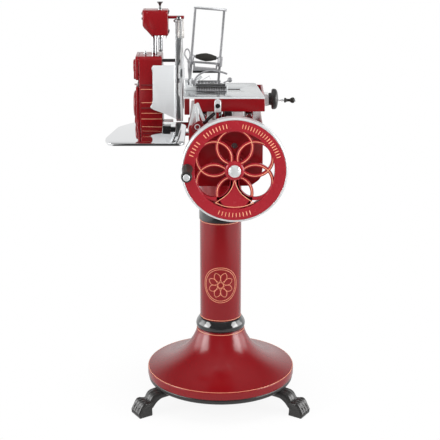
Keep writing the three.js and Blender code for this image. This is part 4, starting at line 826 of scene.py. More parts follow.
def paw(name, node_name, bearing):
    """One cast paw: a rolled leg, four toes, a sole and a heel scroll."""
    own, place, rear = sizes("paws"), Place(node_name), Place("paw_foot_rear")
    axis = column_axis()
    turn = Matrix.Translation((*axis, 0)) @ Matrix.Rotation(math.radians(bearing), 4, "Z")
    far, near = rear.high.y - axis.y, rear.low.y - axis.y
    width, height = rear.size.x, place.high.z

    def at(along, across, up):
        return turn @ Vector((near + (far - near) * along, width * across, height * up))

    bm = bmesh.new()
    for across, thick in ROLL_SHARES:
        path = spline([at(r, across * (1 - r * ROLL_TAPER_SHARE), z) for r, z in LEG_SHARES], 5)
        sweep(bm, path, own.leg * thick)
    last = len(TOE_WIDTH_SHARES) - 1
    apart, wider = TOE_SPREAD_SHARES
    tip_along, tip_across, tip_up, tip_thick = TOE_TIP_SHARES
    for k in range(own.toes):
        across = (k + 0.5) / own.toes - 0.5
        path = list(spline([at(r, across * (apart + wider * r), z) for r, z in TOE_SHARES], 5))
        spots = [i * last / (len(path) - 1) for i in range(len(path))]
        widths = [TOE_WIDTH_SHARES[int(t)] * (1 - t % 1) + TOE_WIDTH_SHARES[min(int(t) + 1, last)] * (t % 1)
                  for t in spots]
        sweep(bm, path, [own.toe * share for share in widths])
        ball(bm, at(tip_along, across * tip_across, tip_up), (own.toe * tip_thick,) * 3)
    for sign in (-1, 1):
        for across, rise, thick, line in RIDGE_SHARES:
            sweep(bm, spline([at(r, across * sign, z + rise) for r, z in line], 5), own.toe * thick)
    end, narrower = SOLE_LEAN_SHARES
    rings = [[bm.verts.new(at(r + (end - r) * lean, a * (1 - lean * narrower), z)) for r, a in SOLE_SHARES]
             for z, lean in SOLE_LEVEL_SHARES]
    join_rings(bm, rings)
    bm.faces.new(rings[0][::-1])
    bm.faces.new(rings[-1])
    bmesh.ops.recalc_face_normals(bm, faces=bm.faces)
    rough = bpy.data.meshes.new(name + "_rough")
    bm.to_mesh(rough)
    bm.free()
    carrier = carried(name, rough)
    merge = carrier.modifiers.new("Merge", "REMESH")
    merge.mode = "VOXEL"
    merge.voxel_size = own.grain
    calm = carrier.modifiers.new("Calm", "SMOOTH")
    calm.factor, calm.iterations = 0.5, 2
    plain = made_plain(carrier, name)
    for vertex in plain.vertices:
        vertex.co = [min(max(c, low), high) for c, low, high in zip(vertex.co, place.low, place.high)]
    dressed(name, plain, "black iron", "stand", [node_name])
    plain.shade_smooth()


class SLICER_OT_feet(bpy.types.Operator):
    """Build the three cast paw feet"""
    bl_idname = "slicer.feet"
    bl_label = "Feet"

    def execute(self, context):
        for node_name, bearing in PAW_BEARINGS.items():
            paw(node_name.replace("paw_foot", "cast_paw"), node_name, bearing)
        return {"FINISHED"}


# Machine frame

ROD_SHARES = ((0, 0), (1, 0), (1, 1), (0, 1))
# where the rear cover's bolts sit, across and up
REAR_BOLT_SHARES = ((0.08, 0.92), (0.1, 0.5, 0.9))


class SLICER_OT_frame(bpy.types.Operator):
    """Build the main casting, its rear cover, its bearing bush and the rails"""
    bl_idname = "slicer.frame"
    bl_label = "Machine frame"

    def execute(self, context):
        own = sizes("knife")
        refine_all((
            ("frame_casting", "main_frame", "red enamel", own.edge / 2),
            ("rear_plate", "rear_cover", "red enamel", own.edge / 3),
            ("bearing_bush", "flywheel_bearing", "bronze", own.edge / 8),
        ))
        for side in ("left", "right"):
            turned(f"slide_rail_{side}", f"rail_{side}", Y_AXIS, ROD_SHARES, "ground steel")
        cover, (across, up) = Place("rear_cover"), REAR_BOLT_SHARES
        spots = [(cover.at(x, 1, z), Y_AXIS) for x in across for z in up]
        bolts("rear_bolts", spots, sizes("carriage").bolt * 0.7, "ground steel", "stand")
        return {"FINISHED"}


# Flywheel and crank

RIM_SHARES = ((0.958, 0), (0.985, 0), (1, 0.12), (1, 0.88), (0.985, 1), (0.958, 1))
CAP_SHARES = ((0, 1), (0.3, 0.98), (0.58, 0.86), (0.82, 0.62), (0.94, 0.34), (1, 0.2), (1, 0), (0, 0))
GRIP_SHARES = (
    (0.42, 0), (0.9, 0), (1, 0.1), (0.92, 0.2), (0.82, 0.45), (0.9, 0.75), (1, 0.9), (0.95, 1), (0.42, 1))
PIN_SHARES = (
    (0, 0), (0.44, 0), (0.44, 0.05), (0.40, 0.06), (0.40, 0.968), (1, 0.969), (1, 0.988), (0, 0.988))
DISC_SHARES = ((0, 0.98), (0.70, 0.98), (0.70, 0.992), (0.6, 1), (0, 1))
# half of the weight's pinstripe, across and up from the wheel's middle, beside the rim's radius
WEIGHT_SHARES = ((0, -0.186), (0.05, -0.33), (0.15, -0.47), (0.357, -0.624), (0.18, -0.69), (0, -0.711))
# the lowest petal's bearing and that of the petal beside it, in degrees
BOTTOM_BEARING, NEXT_BEARING = 270, 330
# bearings round the petal beside it that the weight's side follows, and the steps of the weight's bottom
SIDE_BEARINGS, BOTTOM_STEPS = range(300, 130, -5), 24
# first and last bearing of each run of border strokes, in degrees, and how many it has
BORDER_ARCS = ((160, 142, 5), (130, 100, 8), (80, 18, 18), (250, 290, 10))
# each petal's bearing and the arcs that its pinstripe runs over, in degrees
PETAL_LINE_ARCS = (
    (90, 0, 360), (30, 0, 360), (150, 0, 360), (210, 8, 205), (330, -25, 172), (270, 108, 190),
    (270, -8, 70))


def wheel_middle():
    """The middle of the ring's face."""
    rim = Place("flywheel_rim")
    return Vector((rim.mid.x, rim.low.y, rim.mid.z))


def on_wheel(centre_bearing, radius, angle, depth=0.0):
    """A place on a circle round a petal's centre."""
    own = sizes("wheel")
    far, turn = math.radians(centre_bearing), math.radians(angle)
    return wheel_middle() + Vector((
        math.cos(far) * own.petal_offset + math.cos(turn) * radius, depth,
        math.sin(far) * own.petal_offset + math.sin(turn) * radius))


def wheel_petals():
    """The six round bands of the spokes."""
    own = sizes("wheel")
    middle = wheel_middle() + Y_AXIS * (own.recess + own.thickness / 2)
    facing = Matrix.Rotation(math.pi / 2, 4, "X") @ Matrix.Rotation(math.pi / 2, 4, "Z")
    grown("wheel_petals", loops_tree, {
        "Count": own.petals, "Ring Radius": own.petal_offset, "Loop Radius": own.petal,
        "Band Width": own.band, "Band Depth": own.thickness, "Rounding": own.band / 5,
    }, "wheel enamel", "wheel", Matrix.Translation(middle) @ facing)


def wheel_weight():
    """The solid weight between the two lowest petals."""
    own, middle = sizes("wheel"), wheel_middle()
    inner, outer = own.petal - own.band / 2, own.petal + own.band / 2
    bottom = on_wheel(BOTTOM_BEARING, 0, 0)
    side = [on_wheel(NEXT_BEARING, inner, a) for a in SIDE_BEARINGS]
    side = [p - middle for p in side if (p - bottom).length < outer]
    first = side[0] + middle - bottom
    turn = math.degrees(math.atan2(first.z, first.x))
    arc = [on_wheel(BOTTOM_BEARING, outer, -180 - turn + (turn * 2 + 180) * k / BOTTOM_STEPS) - middle
           for k in range(1, BOTTOM_STEPS)]
    outline = side + [Vector((-p.x, 0, p.z)) for p in reversed(side)] + arc
    one_shape("wheel_weight", "wheel enamel", "wheel", slab, [(p.x, p.z) for p in outline],
              own.recess, own.recess + own.thickness, lambda u, v, w: middle + upright(u, v, w))


def wheel_lines():
    """Pinstripes on the petals and the weight, and a border of strokes on the ring."""
    own, middle = sizes("wheel"), wheel_middle()
    bm = bmesh.new()
    for first, last, strokes in BORDER_ARCS:
        for k in range(strokes):
            turn = math.radians(first + (last - first) * k / (strokes - 1))
            outward = Vector((math.cos(turn), 0, math.sin(turn)))
            ends = [middle + outward * (own.border + own.bead * side) for side in (-1, 1)]
            sweep(bm, spline(ends, 4), own.stroke / 2, steps=LINE_STEPS, flat=0.5)
    piece("border_strokes", bm, "line enamel", "wheel")
    bm = bmesh.new()
    for bearing, first, last in PETAL_LINE_ARCS:
        steps = max(int((last - first) / 4), 8)
        whole = last - first == 360
        path = [on_wheel(bearing, own.petal, first + (last - first) * k / steps, own.recess)
                for k in range(steps if whole else steps + 1)]
        sweep(bm, path, own.line / 2, steps=LINE_STEPS, closed=whole)
    reach = Place("flywheel_rim").size.z / 2
    sunk = middle + Y_AXIS * own.recess
    for line in (WEIGHT_SHARES[:4], WEIGHT_SHARES[3:]):
        for flip in (1, -1):
            places = [sunk + Vector((u * reach * flip, 0, v * reach)) for u, v in line]
            sweep(bm, spline(places, 6), own.line / 2, steps=LINE_STEPS)
    piece("wheel_pinstripes", bm, "line enamel", "wheel")


class SLICER_OT_flywheel(bpy.types.Operator):
    """Build the flywheel, its chrome rim, hub cap, pinstripes and border"""
    bl_idname = "slicer.flywheel"
    bl_label = "Flywheel"

    def execute(self, context):
        own = sizes("wheel")
        whole, middle = Place("flywheel"), wheel_middle()
        outside, soft = whole.size.x / 2, own.recess / 2
        inside, depth = own.ring_inside, own.ring_depth
        ring = [(inside, 0), (outside, 0), (outside, depth), (inside, depth)]
        bm = bmesh.new()
        lathe(bm, middle, Y_AXIS, soften(ring, soft, closed=True), TURN_STEPS * 2, closed=True)
        front, rear = whole.low.y - middle.y, whole.high.y - middle.y
        hub = [(0, front), (own.hub * 0.8, front), (own.hub, front + soft * 2), (own.hub, rear), (0, rear)]
        lathe(bm, middle, Y_AXIS, soften(hub, soft))
        piece("wheel_ring", bm, "wheel enamel", "wheel", ["flywheel"])
        wheel_petals()
        wheel_weight()
        turned("wheel_rim", "flywheel_rim", Y_AXIS, RIM_SHARES, "satin chrome", SMALL_EDGE * 4, closed=True)
        turned("wheel_cap", "hub_cap", -Y_AXIS, CAP_SHARES[::-1], "satin chrome")
        wheel_lines()
        return {"FINISHED"}


class SLICER_OT_crank(bpy.types.Operator):
    """Build the crank pin with its turned grip"""
    bl_idname = "slicer.crank"
    bl_label = "Crank"

    def execute(self, context):
        turned("crank_spindle", "crank_pin", -Y_AXIS, PIN_SHARES, "black iron")
        turned("crank_disc", "crank_pin", -Y_AXIS, DISC_SHARES, "satin chrome")
        turned("crank_handle", "crank_grip", -Y_AXIS, GRIP_SHARES, "black grip", SMALL_EDGE * 3, closed=True)
        return {"FINISHED"}


# Drive inside the frame

class SLICER_OT_drive(bpy.types.Operator):
    """Finish the shafts, gears, rod and chain"""
    bl_idname = "slicer.drive"
    bl_label = "Drive"

    def execute(self, context):
        for node_name in (
            "flywheel_shaft", "drive_gear", "counter_shaft", "bevel_pinion", "bevel_gear", "cross_shaft",
            "crank_arm", "drive_sprocket", "knife_sprocket", "knife_chain", "knife_shaft",
        ):
            polish_node(node_name, "ground steel")
        polish_node("feed_screw", "satin chrome")
        refined("drive_rod", "connecting_rod", "ground steel", SMALL_EDGE)
        return {"FINISHED"}


# Knife side

OIL_CAP_SHARES = (
    (0, 0), (0.72, 0), (0.72, 0.3), (1, 0.34), (1, 0.55), (0.6, 0.66), (0.5, 0.92), (0.2, 1), (0, 1))
BOSS_SHARES = ((0, 0), (1, 0), (1, 0.55), (0.86, 1), (0, 1))
# level and radius on the cover, as shares of its height and depth
COVER_BOSS_SHARES = ((0.87, 0.2), (0.44, 0.4))
# levels of the pinstripes and of the painted shade bands on the housing, and both ends of each
STRIPE_SHARES, SHADE_BAND_SHARES, STRIPE_END_SHARES = (0.305, 0.37, 0.49, 0.64), (0.43, 0.69), (0.08, 0.96)
HINGE_END_SHARES = (0.02, 0.98)


def housing_bosses():
    """Round bosses and screws on the housing's side cover."""
    own, cover = sizes("knife"), Place("housing_cover")
    bm = bmesh.new()
    points = []
    for level, share in COVER_BOSS_SHARES:
        radius, depth = cover.size.y * share, cover.size.x / 2
        centre = cover.at(0.35, 0.5, level)
        lathe(bm, centre, -X_AXIS, soften([(r * radius, t * depth) for r, t in BOSS_SHARES], own.edge / 2))
        top = centre + X_AXIS * (own.screw * 0.6 - depth)
        points.append((top, -X_AXIS))
        for k in range(4):
            a = math.tau * (k + 0.5) / 4
            points.append((top + Vector((0, math.cos(a), math.sin(a))) * radius * 0.72, -X_AXIS))
    piece("cover_bosses", bm, "red enamel", "stand")
    bolts("cover_screws", points, own.screw * 0.8, "black enamel", "stand", sides=20, height_share=0.5)


def housing_stripes():
    """Pinstripes and painted shade bands across the front of the housing: the bands are raised dark red
    strips that paint the shade of recesses.
    """
    own, housing = sizes("knife"), Place("knife_housing")
    for name, levels, radius, finish_name in (
        ("housing_pinstripes", STRIPE_SHARES, own.stripe / 2, "line enamel"),
        # raised dark red strips that paint the shade of recesses between the pinstripes
        ("housing_grooves", SHADE_BAND_SHARES, own.shade_band_width / 2, "deep red"),
    ):
        bm = bmesh.new()
        for level in levels:
            sweep(bm, spline([housing.at(x, 0, level) for x in STRIPE_END_SHARES], 4), radius, flat=0.4)
        piece(name, bm, finish_name, "stand")


# opposite corners of the stop's blocks, as shares of the tray's box
TRAY_STOP_SHARES = (((0.70, 0.60, 1), (0.806, 0.70, 2.7)), ((0.806, 0.63, 1), (0.868, 0.67, 1.9)))


def tray_stop():
    """The black stop on the tray, with its lower step."""
    edge, tray = sizes("carriage").edge / 2, Place("slice_tray")
    bm = bmesh.new()
    for low, high in TRAY_STOP_SHARES:
        block(bm, tray.at(*low), tray.at(*high), edge)
    piece("tray_stop", bm, "black enamel", "tray")


class SLICER_OT_housing(bpy.types.Operator):
    """Build the knife arm, the red housing, its side cover and the oil cap"""
    bl_idname = "slicer.housing"
    bl_label = "Knife housing"

    def execute(self, context):
        own = sizes("knife")
        refine_all((
            ("arm_casting", "knife_arm", "red enamel", own.edge / 2),
            ("housing_casting", "knife_housing", "red enamel", own.edge / 2),
            ("side_cover", "housing_cover", "red enamel", own.edge / 2),
        ))
        turned("oil_filler", "oil_cap", Z_AXIS, OIL_CAP_SHARES, "ground steel")
        housing_stripes()
        return {"FINISHED"}


class SLICER_OT_knife(bpy.types.Operator):
    """Build the knife, its cover plate, guard, stay and deflector"""
    bl_idname = "slicer.knife"
    bl_label = "Knife"

    def execute(self, context):
        refined("round_knife", "knife_blade", "mirror")
        refine_all((
            ("knife_plate", "knife_cover", "satin plate", SMALL_EDGE),
            ("guard_ring", "knife_guard", "satin chrome", SMALL_EDGE),
            ("stay_bar", "guard_stay", "black enamel", SMALL_EDGE),
            ("deflector_plate", "slice_deflector", "satin plate", SMALL_EDGE),
        ))
        plate = Place("slice_deflector")
        path = spline([plate.at(0.97, 0.2, z) for z in HINGE_END_SHARES], 4)
        one_shape("deflector_hinge", "ground steel", "deflector", sweep, path, plate.size.y * 0.2)
        return {"FINISHED"}


# Sharpener

PLUNGER_SHARES = (
    (0, 0.035), (0.72, 0.035), (0.72, 0.28), (1, 0.29), (1, 0.34), (0.72, 0.37), (0.72, 0.86), (0, 0.86))
TIP_SHARES = ((0, 0.01), (0.62, 0.01), (0.72, 0.018), (0.72, 0.036), (0, 0.036))
KNOB_SHARES = (
    (0, 0.84), (0.62, 0.84), (0.4, 0.865), (0.34, 0.92), (0.5, 0.955), (1, 0.985), (1, 1), (0, 1))
CASING_FRONT_SHARES = ((0.17, 0.985), (0.97, 0.985), (0.97, 0.02), (0.38, 0.02), (0.17, 0.38))
# where the casing's screws sit and how they face
CASING_SCREW_SHARES = ((0, 0.2, 0.86, -1), (0, 0.2, 0.66, -1), (0, 0.8, 0.86, -1), (1, 0.2, 0.9, 1),
                       (1, 0.2, 0.12, 1), (1, 0.8, 0.9, 1), (1, 0.8, 0.12, 1))
# the arm's joint: each ball's place on the arm, and its radii beside the castings' rounding
JOINT_SHARES = (((0.80, -0.1, 0.3), (1.7, 1, 1.7)), ((0.66, 0, -0.7), (1.1, 1.1, 1.1)))


def casing_extras():
    """The raised front of the casing, with its flange left bare at the side, and its screws."""
    own, casing, body = sizes("knife"), Place("sharpener_housing"), body_with("sharpener_housing")
    corners = [casing.at(x, 0, z) for x, z in CASING_FRONT_SHARES]
    outline = soften([(p.x, p.z) for p in corners], own.edge * 2, closed=True)
    one_shape("casing_front", "red enamel", body, slab, outline, casing.low.y - own.edge * 0.8,
              casing.at(0, 0.3, 0).y, upright, own.edge * 0.6)
    points = [(casing.at(x, y, z), X_AXIS * face) for x, y, z, face in CASING_SCREW_SHARES]
    bolts("casing_screws", points, own.screw, "black enamel", body)


class SLICER_OT_sharpener(bpy.types.Operator):
    """Build the sharpener's post, head, spindle, arm and stones"""
    bl_idname = "slicer.sharpener"
    bl_label = "Sharpener"

    def execute(self, context):
        own = sizes("knife")
        refine_all((
            ("sharpener_stem", "sharpener_post", "bright steel", SMALL_EDGE),
            ("sharpener_casing", "sharpener_housing", "red enamel", own.edge * 0.8),
            ("sharpener_link", "sharpener_arm", "red enamel", SMALL_EDGE * 2),
            ("coarse_stone", "grinding_stone", "stone", SMALL_EDGE),
            ("fine_stone", "honing_stone", "stone", SMALL_EDGE),
        ))
        turned("sharpener_plunger", "sharpener_spindle", Z_AXIS, PLUNGER_SHARES, "bright steel")
        turned("sharpener_knob", "sharpener_spindle", Z_AXIS, KNOB_SHARES, "black enamel")
        turned("plunger_tip", "sharpener_spindle", Z_AXIS, TIP_SHARES, "black enamel")
        casing_extras()
        arm, bm = Place("sharpener_arm"), bmesh.new()
        for place, radii in JOINT_SHARES:
            ball(bm, arm.at(*place), [own.edge * share for share in radii])
        piece("arm_joint", bm, "bright steel", "stones")
        return {"FINISHED"}


# Carriage

WHEEL_SHARES = (
    (0.16, 0), (0.6, 0), (0.6, 0.105), (0.92, 0.106), (1, 0.145), (1, 0.235), (0.92, 0.29), (0.7, 0.33),
    (0.3, 0.355), (0.16, 0.355))
STEM_SHARES = (
    (0, 0.32), (0.28, 0.32), (0.28, 0.455), (0.42, 0.46), (0.42, 0.515), (0.28, 0.52), (0.28, 0.968),
    (0.57, 0.969), (0.57, 1), (0, 1))
# blocks on the carriage: name, finish, and opposite corners in the casting's box
BLOCK_SHARES = (
    ("end_strip", "deep red", (-0.1382, -0.0154, 0.2222), (-0.065, 0.0462, 1.0042)),
    ("slide_stop", "black enamel", (0.4272, -0.0086, 0.1528), (0.537, 0.0606, 0.4028)),
    ("slide_shoe", "satin chrome", (0.5492, 0.0068, 0.125), (0.7036, 0.076, 0.4028)),
)


def feed_stem():
    """The spool's stem, with a collar in front of the spool and a head behind it."""
    own, wheel, spool = sizes("carriage"), Place("feed_handwheel"), Place("feed_crank_knob")
    profile = [(r * spool.size.z / 2, t * wheel.size.x) for r, t in STEM_SHARES]
    bm = bmesh.new()
    lathe(bm, (wheel.low.x, spool.mid.y, spool.mid.z), X_AXIS, soften(profile, own.rib / 6))
    piece("feed_stem", bm, "satin chrome", "feed", ["feed_handwheel"])


def carriage_extras():
    """The dark strip under the table's end, the blocks under the casting, and a paler strip on the table's
    front edge that paints its highlight.
    """
    own, casting, table = sizes("carriage"), Place("carriage_frame"), Place("table_plate")
    for name, finish_name, low, high in BLOCK_SHARES:
        one_shape(name, finish_name, "carriage", block, casting.at(*low), casting.at(*high), own.edge)
    # the paler strip along the table's front edge is a painted highlight
    thin = own.edge / 5
    one_shape("table_edge", "satin plate", "carriage", block, table.low - Y_AXIS * thin,
              (table.high.x, table.low.y + thin, table.high.z), thin / 2)


class SLICER_OT_carriage(bpy.types.Operator):
    """Build the carriage casting, its table plate, lug, end block and small blocks"""
    bl_idname = "slicer.carriage"
    bl_label = "Carriage"

    def execute(self, context):
        own = sizes("carriage")
        refine_all((
            ("carriage_casting", "carriage_frame", "red enamel", own.edge),
            ("meat_table", "table_plate", "aluminium", SMALL_EDGE),
            ("chrome_lug", "front_lug", "satin chrome", own.edge),
            ("end_bearing", "feed_end_block", "satin chrome", own.edge),
        ))
        lug = Place("front_lug")
        bolts("lug_bolt", [(lug.at(0.5, 0, 0.5), -Y_AXIS)], own.bolt * 0.8, "black enamel", "carriage")
        carriage_extras()
        return {"FINISHED"}


class SLICER_OT_feed(bpy.types.Operator):
    """Build the feed handwheel, its stem and its spool knob"""
    bl_idname = "slicer.feed"
    bl_label = "Feed handwheel"

    def execute(self, context):
        own = sizes("carriage")
        turned("feed_wheel", "feed_handwheel", X_AXIS, WHEEL_SHARES, "black iron", own.rib, closed=True)
        wheel = Place("feed_handwheel")
        rim = Matrix.Translation(wheel.at(0.19, 0.5, 0.5)) @ Matrix.Rotation(math.pi / 2, 4, "Y")
        grown("wheel_ribs", beads_tree, {
            "Count": own.ribs, "Ring Radius": wheel.size.z / 2 - own.rib,
            "Bead Size": (own.rib * 0.9, own.rib, own.rib * 1.5),
        }, "black iron", "feed", rim)
        feed_stem()
        refined("feed_spool", "feed_crank_knob", "black grip", SMALL_EDGE)
        return {"FINISHED"}


# Meat holder

# lines in front of the saddle, in X and Z of the saddle's box
ARM_SHARES = (
    (0.2046, 0.8974), (0.2967, 1.136), (0.4414, 1.315), (0.6256, 1.3866), (0.8493, 1.327), (0.994, 1.2434))
LINK_SHARES = ((0.2046, 0.8258), (0.4019, 1.136))
TRIANGLE_SHARES = ((0.3164, 0.8735), (0.5796, 1.1599), (0.6388, 0.8496))
# the arm's round foot, beside the arm's radius
ARM_FOOT_SHARES = ((0, 0), (2.2, 0), (2.2, 2.4), (0, 2.4))
# the small knob, beside the arm's radius: its place from the bar's end, and its radii
SMALL_KNOB_SHARES = ((4.6, -5, 4), (2.8, 1.6, 2.8))


def holder_arms():
    """The curved arm over the saddle, its flat link, a wire triangle and the small knob at the bar's end."""
    own, saddle, bar = sizes("holder"), Place("holder_saddle"), Place("spiked_bar")
    arm = own.arm
    bow, link, triangle = ([saddle.at(x, 0, z) - Y_AXIS * arm for x, z in line]
                           for line in (ARM_SHARES, LINK_SHARES, TRIANGLE_SHARES))
    bm = bmesh.new()
    sweep(bm, spline(bow, 6), arm)
    foot = soften([(r * arm, t * arm) for r, t in ARM_FOOT_SHARES], arm / 2)
    lathe(bm, bow[0] + Y_AXIS * arm, -Y_AXIS, foot)
    piece("curved_arm", bm, "brushed steel", "holder")
    one_shape("flat_link", "satin chrome", "holder", sweep, spline(link, 4), arm * 1.6, flat=0.5)
    bm = bmesh.new()
    end, (offset, radii) = bar.at(1, 0.5, 0.8), SMALL_KNOB_SHARES
    knob = end + Vector(offset) * arm
    sweep(bm, spline([end - X_AXIS * arm * 2, knob], 6), arm * 0.8)
    ball(bm, knob, Vector(radii) * arm)
    piece("bar_knob", bm, "brushed steel", "holder")
    one_shape("wire_triangle", "brushed steel", "holder", sweep, triangle, arm * 0.35, steps=8, closed=True)


# the toothed strip on the saddle's front and, in front of it, a thin black sheet that paints the shade of a
# slot, as shares of the saddle's box
RACK_SHARES = ((0.27, -0.10, 0.53), (0.98, 0, 0.70))
SLOT_SHADE_SHARES = ((0.46, -0.62, 0.517), (0.72, -0.46, 0.528))
ROD_TOP_SHARE = 0.955


def saddle_rack():
    """The toothed strip on the saddle's front, and a thin black sheet on the table before it that paints the
    shade of a slot.
    """
    own, saddle = sizes("holder"), Place("holder_saddle")
    low, high = (saddle.at(*corner) for corner in RACK_SHARES)
    one_shape("rack_strip", "black iron", "holder", block, low, high, own.arm / 6)
    teeth = own.spikes * 2
    step = (high.x - low.x) / teeth
    grown("rack_teeth", row_tree, {
        "Count": teeth, "Step": (step, 0, 0), "Cone Radius": step * 0.42, "Cone Height": high.z - low.z,
    }, "brushed steel", "holder", Matrix.Translation((low.x + step / 2, low.y, low.z)))
    # a thin black sheet: painted shade standing for the slot
    low, high = (saddle.at(*corner) for corner in SLOT_SHADE_SHARES)
    one_shape("table_slot", "black iron", "carriage", block, low, high, SMALL_EDGE / 8)


class SLICER_OT_holder(bpy.types.Operator):
    """Build the saddle with its arms and toothed strip, the spiked bar and the tall rods"""
    bl_idname = "slicer.holder"
    bl_label = "Meat holder"

    def execute(self, context):
        own = sizes("holder")
        refine_all((
            ("saddle_block", "holder_saddle", "satin chrome", SMALL_EDGE * 2),
            ("spike_bar", "spiked_bar", "ground steel", SMALL_EDGE),
        ))
        rods = refined("tall_rods", "rod_frame", "brushed steel")
        top = Place("rod_frame").at(0, 0, ROD_TOP_SHARE).z
        split_off(rods, "rod_top", "satin plate", Z_AXIS, top)
        bar = Place("spiked_bar")
        step = bar.size.x / (own.spikes + 1)
        first = Matrix.Translation(bar.at(0, 0.5, 0) + X_AXIS * step) @ Matrix.Rotation(math.pi, 4, "X")
        grown("bar_spikes", row_tree, {
            "Count": own.spikes, "Step": (step, 0, 0), "Cone Radius": own.spike / 4, "Cone Height": own.spike,
        }, "ground steel", "holder", first)
        holder_arms()
        saddle_rack()
        return {"FINISHED"}


# the clamp lever's loop and shank, in X and Z of the lever's box
LOOP_SHARES = (
    (0.45, 0.97), (0.12, 1.08), (-0.2, 1.24), (-0.1, 1.4), (0.3, 1.46), (0.66, 1.36), (0.72, 1.2),
    (0.6, 1.05))
SHANK_SHARES = ((0.5, 0.04), (0.62, 0.3), (0.5, 0.62), (0.5, 0.98))
# the shank's two joints: their heights on the lever, and their radii beside the arm's
SHANK_JOINT_SHARES, SHANK_BALL_SHARES = (0.06, 0.95), (2.1, 1.6, 2.1)
PRESS_PLATE_SHARES = ((0.12, -0.02, -0.02), (0.86, 0.6, 0.13))


def clamp_loop():
    """The clamp lever: a flat shank with a joint at its foot and a loop on top."""
    own, lever = sizes("holder"), Place("clamp_lever")
    shank, loop = ([lever.at(x, 0.5, z) for x, z in line]
                   for line in (SHANK_SHARES, (*LOOP_SHARES, LOOP_SHARES[0])))
    bm = bmesh.new()
    sweep(bm, spline(shank, 8), own.arm * 1.5, flat=0.7)
    sweep(bm, spline(loop, 5), own.arm * 0.8)
    for share in SHANK_JOINT_SHARES:
        ball(bm, lever.at(0.5, 0.5, share), Vector(SHANK_BALL_SHARES) * own.arm)
    piece("loop_lever", bm, "brushed steel", body_with("clamp_lever"), ["clamp_lever"])


class SLICER_OT_press(bpy.types.Operator):
    """Build the sliding press, its grip and the clamp lever"""
    bl_idname = "slicer.press"
    bl_label = "Press"

    def execute(self, context):
        refine_all((
            ("press_bow", "press_frame", "brushed steel", SMALL_EDGE),
            ("press_handle_grip", "press_grip", "black grip", SMALL_EDGE),
        ))
        clamp_loop()
        low, high = (Place("press_frame").at(*corner) for corner in PRESS_PLATE_SHARES)
        one_shape("press_plate", "black enamel", "press", block, low, high, SMALL_EDGE)
        return {"FINISHED"}


class SLICER_OT_tray(bpy.types.Operator):
    """Build the receiving tray and its stop"""
    bl_idname = "slicer.tray"
    bl_label = "Tray"

    def execute(self, context):
        refined("mirror_tray", "slice_tray", "mirror", SMALL_EDGE)
        tray_stop()
        return {"FINISHED"}


# bars beside the lever: name, finish, both ends in X and Z of the lever's box, and width beside the lever's
BAR_SHARES = (
    ("left_leg", "satin chrome", (0.1031, 1.0558), (-0.6969, 0.1508), 0.4),
    ("right_leg", "satin chrome", (0.2364, 1.0947), (1.0364, 0.4719), 0.3667),
    ("lever_bar", "black enamel", (0.9364, 0.3844), (2.3364, 0.7541), 0.3667),
)
# the capsule in front of the lever's foot: both ends and the width, measured the same way
CAPSULE_SHARES = ((-0.30, 0.20), (0.88, 0.49), 0.95)


def lever_parts():
    """Chrome legs and a black bar beside the thickness lever."""
    lever = Place("thickness_lever")
    for step, (name, finish_name, start, end, share) in enumerate(BAR_SHARES):
        rear, width = lever.high.y + SMALL_EDGE * (2 + step), lever.size.x * share
        first, last = (lever.at(x, 0, z) for x, z in (start, end))
        one_shape(name, finish_name, "stand", slab, bar_outline(first, last, width, width * 0.48),
                  rear, rear + SMALL_EDGE * 6, upright, SMALL_EDGE)


def lever_capsule():
    """A dark red capsule with a pale ring, in front of the lever's foot."""
    lever, edge = Place("thickness_lever"), sizes("carriage").edge
    start, end, share = CAPSULE_SHARES
    first, last = (lever.at(x, 0, z) for x, z in (start, end))
    width, front = lever.size.x * share, lever.low.y - edge * 3
    one_shape("lever_capsule", "deep red", "stand", slab, bar_outline(first, last, width, width / 2),
              front, front + edge * 2.4, upright, edge / 2)
    middle = (first + last) / 2 - Y_AXIS * edge * 3
    one_shape("capsule_ring", "satin chrome", "stand", line_ring, middle, Y_AXIS, width * 0.3, edge)


class SLICER_OT_thickness(bpy.types.Operator):
    """Build the slice thickness lever with its legs, bar and capsule"""
    bl_idname = "slicer.thickness"
    bl_label = "Thickness lever"

    def execute(self, context):
        refined("thickness_handle", "thickness_lever", "satin chrome", SMALL_EDGE)
        lever_parts()
        lever_capsule()
        return {"FINISHED"}


class SLICER_OT_fasteners(bpy.types.Operator):
    """Add the side cover's bosses and screws"""
    bl_idname = "slicer.fasteners"
    bl_label = "Fasteners"

    def execute(self, context):
        housing_bosses()
        return {"FINISHED"}


# Stage

# name, place and size in metres, the property with its power, and whether shiny surfaces show it
LIGHTS = (
    ("left_box", (-3.2, -1.3, 1.6), (1.8, 2.2), "key", True),
    ("right_box", (3.3, -1.0, 1.5), (1.8, 2.2), "key", True),
    ("top_box", (0, -0.6, 3.6), (2.6, 1.8), "top", False),
    ("front_fill", (0, -4.2, 3.2), (2.4, 1.8), "fill", False),
)
LIGHT_AIM = Vector((0, 0, 0.7))
# where each fade starts and ends along its direction, and its strength at both
SKY_FADES = {"low": (0.34, 0.62, 1, 0.12), "behind": (-0.1, 0.5, 0.05, 0.9),
             "beside": (0.80, 0.92, 0, 3.4), "above": (0.62, 0.95, 0.1, 0.34)}
# the floor's fades, in metres
FLOOR_FADES = {"outwards": (0.25, 0.7, 0.9, 1.0), "ahead": (-2.4, -0.2, 0.05, 0.6),
               "beside": (0.9, 2.0, 0, 1.0)}
FLOOR_GREY, FLOOR_ROUGHNESS = (0.86, 0.86, 0.86), 0.9
SENSOR_WIDTH = 36


